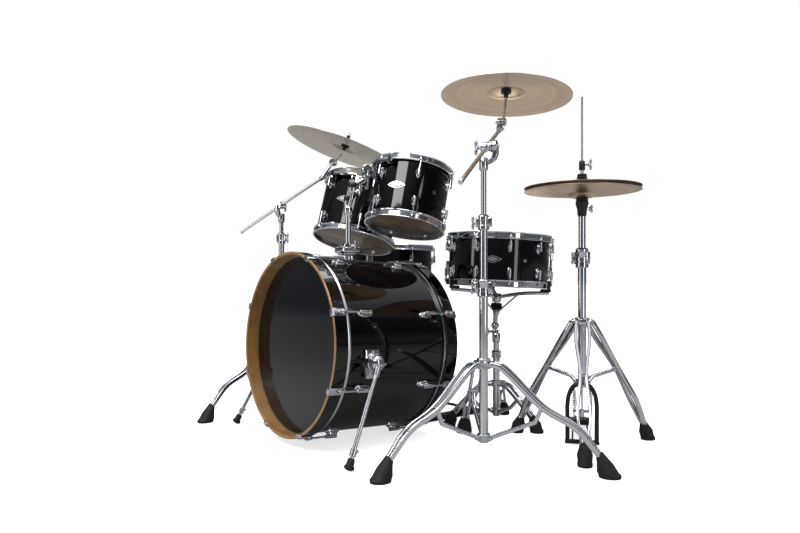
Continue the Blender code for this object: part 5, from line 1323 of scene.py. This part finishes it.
def draw_pedal():
    """Frame and posts, footboard, and the axle with its cam and beater."""
    base = Piece("black_steel")
    length = PEDAL_HEEL.y + 0.055 - 0.236
    base.slab((0.084, length, 0.006), (0, 0.236 + length / 2, 0.0032), bevel=0.0015)
    base.slab((0.112, 0.030, 0.010), (0, PEDAL_AXLE.y, 0.0056), bevel=0.002)
    base.slab((0.060, 0.046, 0.008), (0, PEDAL_HEEL.y + 0.030, 0.010), bevel=0.002)
    base.slab((0.036, 0.012, 0.036), (0, 0.2415, 0.018), bevel=0.002)
    base.slab((0.036, 0.050, 0.007), (0, 0.2225, 0.033), bevel=0.002)
    for side in (-1, 1):
        x = side * PEDAL_HALF
        base.use("cast_chrome").tube([(x, PEDAL_AXLE.y, 0.006), (x, PEDAL_AXLE.y, 0.090),
                                      (x, PEDAL_AXLE.y, 0.170)], 0.0058, 16,
                                     across=(1, 0, 0), height=0.0090)
        base.lathe([(0.0130, 0.0065), (0.0135, 0.0040), (0.0135, -0.0040), (0.0130, -0.0065),
                    (0.0058, -0.0065), (0.0058, 0.0065)],
                   pointing((x, PEDAL_AXLE.y, PEDAL_AXLE.z), (1, 0, 0)), 36)
        base.use("black_steel").slab((0.010, 0.024, 0.034), (side * 0.026, PEDAL_HEEL.y, 0.018), bevel=0.002)
    base.use("wire")
    x, y = PEDAL_HALF + 0.004, PEDAL_AXLE.y + 0.011
    draw_coil(base, (x, y, 0.050), (x, y, 0.150), 0.0065, 0.0012, 22)
    base.done("kick_pedal_frame", "root", "black_steel", "pedal_frame")

    board = Piece("black_steel")
    draw_board(board, Matrix.Translation(PEDAL_HEEL) @ Matrix.Rotation(-math.pi / 2, 4, "Z"), 0.232, 0.058,
               0.076)
    board.done("kick_pedal_board", "kick_footboard", "black_steel", "pedal_footboard")

    lean = math.radians(BEATER_REST)
    out, face = Vector((0, math.sin(lean), math.cos(lean))), Vector((0, -math.cos(lean), math.sin(lean)))
    tip = PEDAL_AXLE + out * BEATER_REACH
    beater = Piece("chrome")
    for finish, half, thick, sides in (("chrome", 0.056, 0.0054, 6), ("cast_chrome", 0.010, 0.0235, 40)):
        beater.use(finish).rod((-half, PEDAL_AXLE.y, PEDAL_AXLE.z), (half, PEDAL_AXLE.y, PEDAL_AXLE.z),
                               thick, sides=sides)
    tooth = Piece("cast_chrome").slab((0.004, 0.0035, 0.016), (0, 0, 0), bevel=0.0008)
    beater.add(ringed(tooth, 20, 0.0225, 0, 0, "cast_chrome"), pointing(PEDAL_AXLE, (1, 0, 0)))
    beater.use("chrome").rod(PEDAL_AXLE, tip + out * 0.018, 0.0036, sides=20)
    beater.use("felt").turned([(0.0175, -0.016), (0.0205, -0.012), (0.0210, 0.010), (0.0185, 0.018),
                               (0.0130, 0.022)],
                              pointing(tip, face), 40)
    beater.done("kick_beater_arm", "kick_beater", "chrome", "pedal_beater")


# ---------------------------------------------------------------- floor, light and camera
CAMERA_AT = Vector((1.8244, -1.2017, 0.5219))
CAMERA_TURN, LENS, SHIFT_UP = math.radians(52.03), 29.34, 0.0134
KIT_MIDDLE = Vector((0, 0.2, 0.55))
FLOOR_GLOW, FLOOR_GLOW_IN_MIRRORS = 0.72, 0.06
SENSOR_WIDTH, FLOOR_HALF, FLOOR_DROP = 36.0, 40, 0.0005


def softbox(name, place, size, power):
    light = bpy.data.lights.new(name, "AREA")
    light.shape, light.size, light.size_y, light.energy = "RECTANGLE", size[0], size[1], power
    lamp = bpy.data.objects.new(name, light)
    bpy.context.scene.collection.objects.link(lamp)
    lamp.location = Vector(place) + SHIFT
    lamp.rotation_euler = (KIT_MIDDLE - Vector(place)).to_track_quat("-Z", "Y").to_euler()


def set_stage():
    """A white floor that runs to the horizon, a white room, four softboxes and the camera."""
    paper, tree, shader = new_material("studio_paper", "#F4F4F4", 0.90)
    roughen(tree, shader, noise_on(tree, 400), 0.86, 0.94)
    shader.inputs["Specular IOR Level"].default_value = 0.05
    shader.inputs["Emission Color"].default_value = (1, 1, 1, 1)
    seen = add_node(tree, "ShaderNodeLightPath").outputs["Is Camera Ray"]
    glow = spread(tree, seen, FLOOR_GLOW_IN_MIRRORS, FLOOR_GLOW)
    tint(tree, shader, seen, "#A2A2A4", "#F4F4F4", 0.0, 1.0)
    tree.links.new(glow, shader.inputs["Emission Strength"])
    mesh = bpy.data.meshes.new("floor")
    sheet = bmesh.new()
    bmesh.ops.create_grid(sheet, x_segments=1, y_segments=1, size=FLOOR_HALF)
    sheet.to_mesh(mesh)
    sheet.free()
    mesh.materials.append(paper)
    floor = bpy.data.objects.new("floor", mesh)
    bpy.context.scene.collection.objects.link(floor)
    floor.location = (0, 0, -FLOOR_DROP)

    world = bpy.data.worlds.new("studio")
    world.use_nodes = True
    bpy.context.scene.world = world
    tree = world.node_tree
    tree.nodes.clear()
    way = add_node(tree, "ShaderNodeTexCoord").outputs["Generated"]
    high = add_node(tree, "ShaderNodeSeparateXYZ", {"Vector": way}).outputs["Z"]
    ramp = add_node(tree, "ShaderNodeValToRGB", {"Fac": high})
    stops = ramp.color_ramp.elements
    stops[0].position, stops[0].color = 0.0, (0.10, 0.11, 0.125, 1)
    stops[1].position, stops[1].color = 0.85, (1.15, 1.15, 1.17, 1)
    for position, grey in ((0.10, 0.20), (0.24, 0.06), (0.45, 0.10), (0.62, 0.55)):
        stops.new(position).color = (grey * 0.97, grey * 0.99, grey * 1.04, 1)
    room = add_node(tree, "ShaderNodeBackground", {"Color": ramp.outputs["Color"]}, Strength=1.0)
    white = add_node(tree, "ShaderNodeBackground", Strength=1.0)
    white.inputs["Color"].default_value = (1, 1, 1, 1)
    seen = add_node(tree, "ShaderNodeLightPath").outputs["Is Camera Ray"]
    mix = add_node(tree, "ShaderNodeMixShader", {0: seen, 1: room.outputs[0], 2: white.outputs[0]})
    add_node(tree, "ShaderNodeOutputWorld", {"Surface": mix.outputs[0]})

    softbox("left_strip", (-0.9, -3.2, 1.3), (0.45, 2.2), 16)
    softbox("right_strip", (3.6, 0.1, 1.2), (0.45, 2.2), 14)
    softbox("front_box", (1.0, -2.4, 3.0), (1.8, 1.0), 60)
    softbox("top_box", (-0.2, 0.3, 3.2), (2.6, 1.8), 75)

    bpy.context.scene.view_settings.view_transform = "Standard"
    camera = bpy.data.cameras.new("camera")
    camera.lens, camera.sensor_width, camera.shift_y = LENS, SENSOR_WIDTH, SHIFT_UP
    viewer = bpy.data.objects.new("camera", camera)
    bpy.context.scene.collection.objects.link(viewer)
    viewer.location = CAMERA_AT + SHIFT
    viewer.rotation_euler = (math.pi / 2, 0, CAMERA_TURN)
    bpy.context.scene.camera = viewer


TOM_BADGE = -58.8                         # bearing of a tom's badge

draw_bass_drum()
draw_holder()
for tom_name, tom, ball_centre in (("high_tom", HIGH_TOM, HIGH_BALL), ("low_tom", LOW_TOM, LOW_BALL)):
    _, tom_shell = draw_drum(tom_name, tom, tom_name, badge=TOM_BADGE)
    tom_shell.done(f"{tom_name}_drum_shell", tom_name, "black_lacquer", f"{tom_name}_shell")
    draw_tom_arm(f"{tom_name}_arm", tom, ball_centre, tom_name)
draw_floor_tom()
draw_snare_stand()
draw_snare()
draw_boom_stand("crash", CRASH_POST, CRASH_LEGS, CRASH_BOLTS, CRASH_ARM, CRASH, "crash_bronze")
draw_boom_stand("ride", RIDE_POST, RIDE_LEGS, RIDE_BOLTS, RIDE_ARM, RIDE, "ride_bronze")
draw_hihat()
draw_pedal()
set_stage()
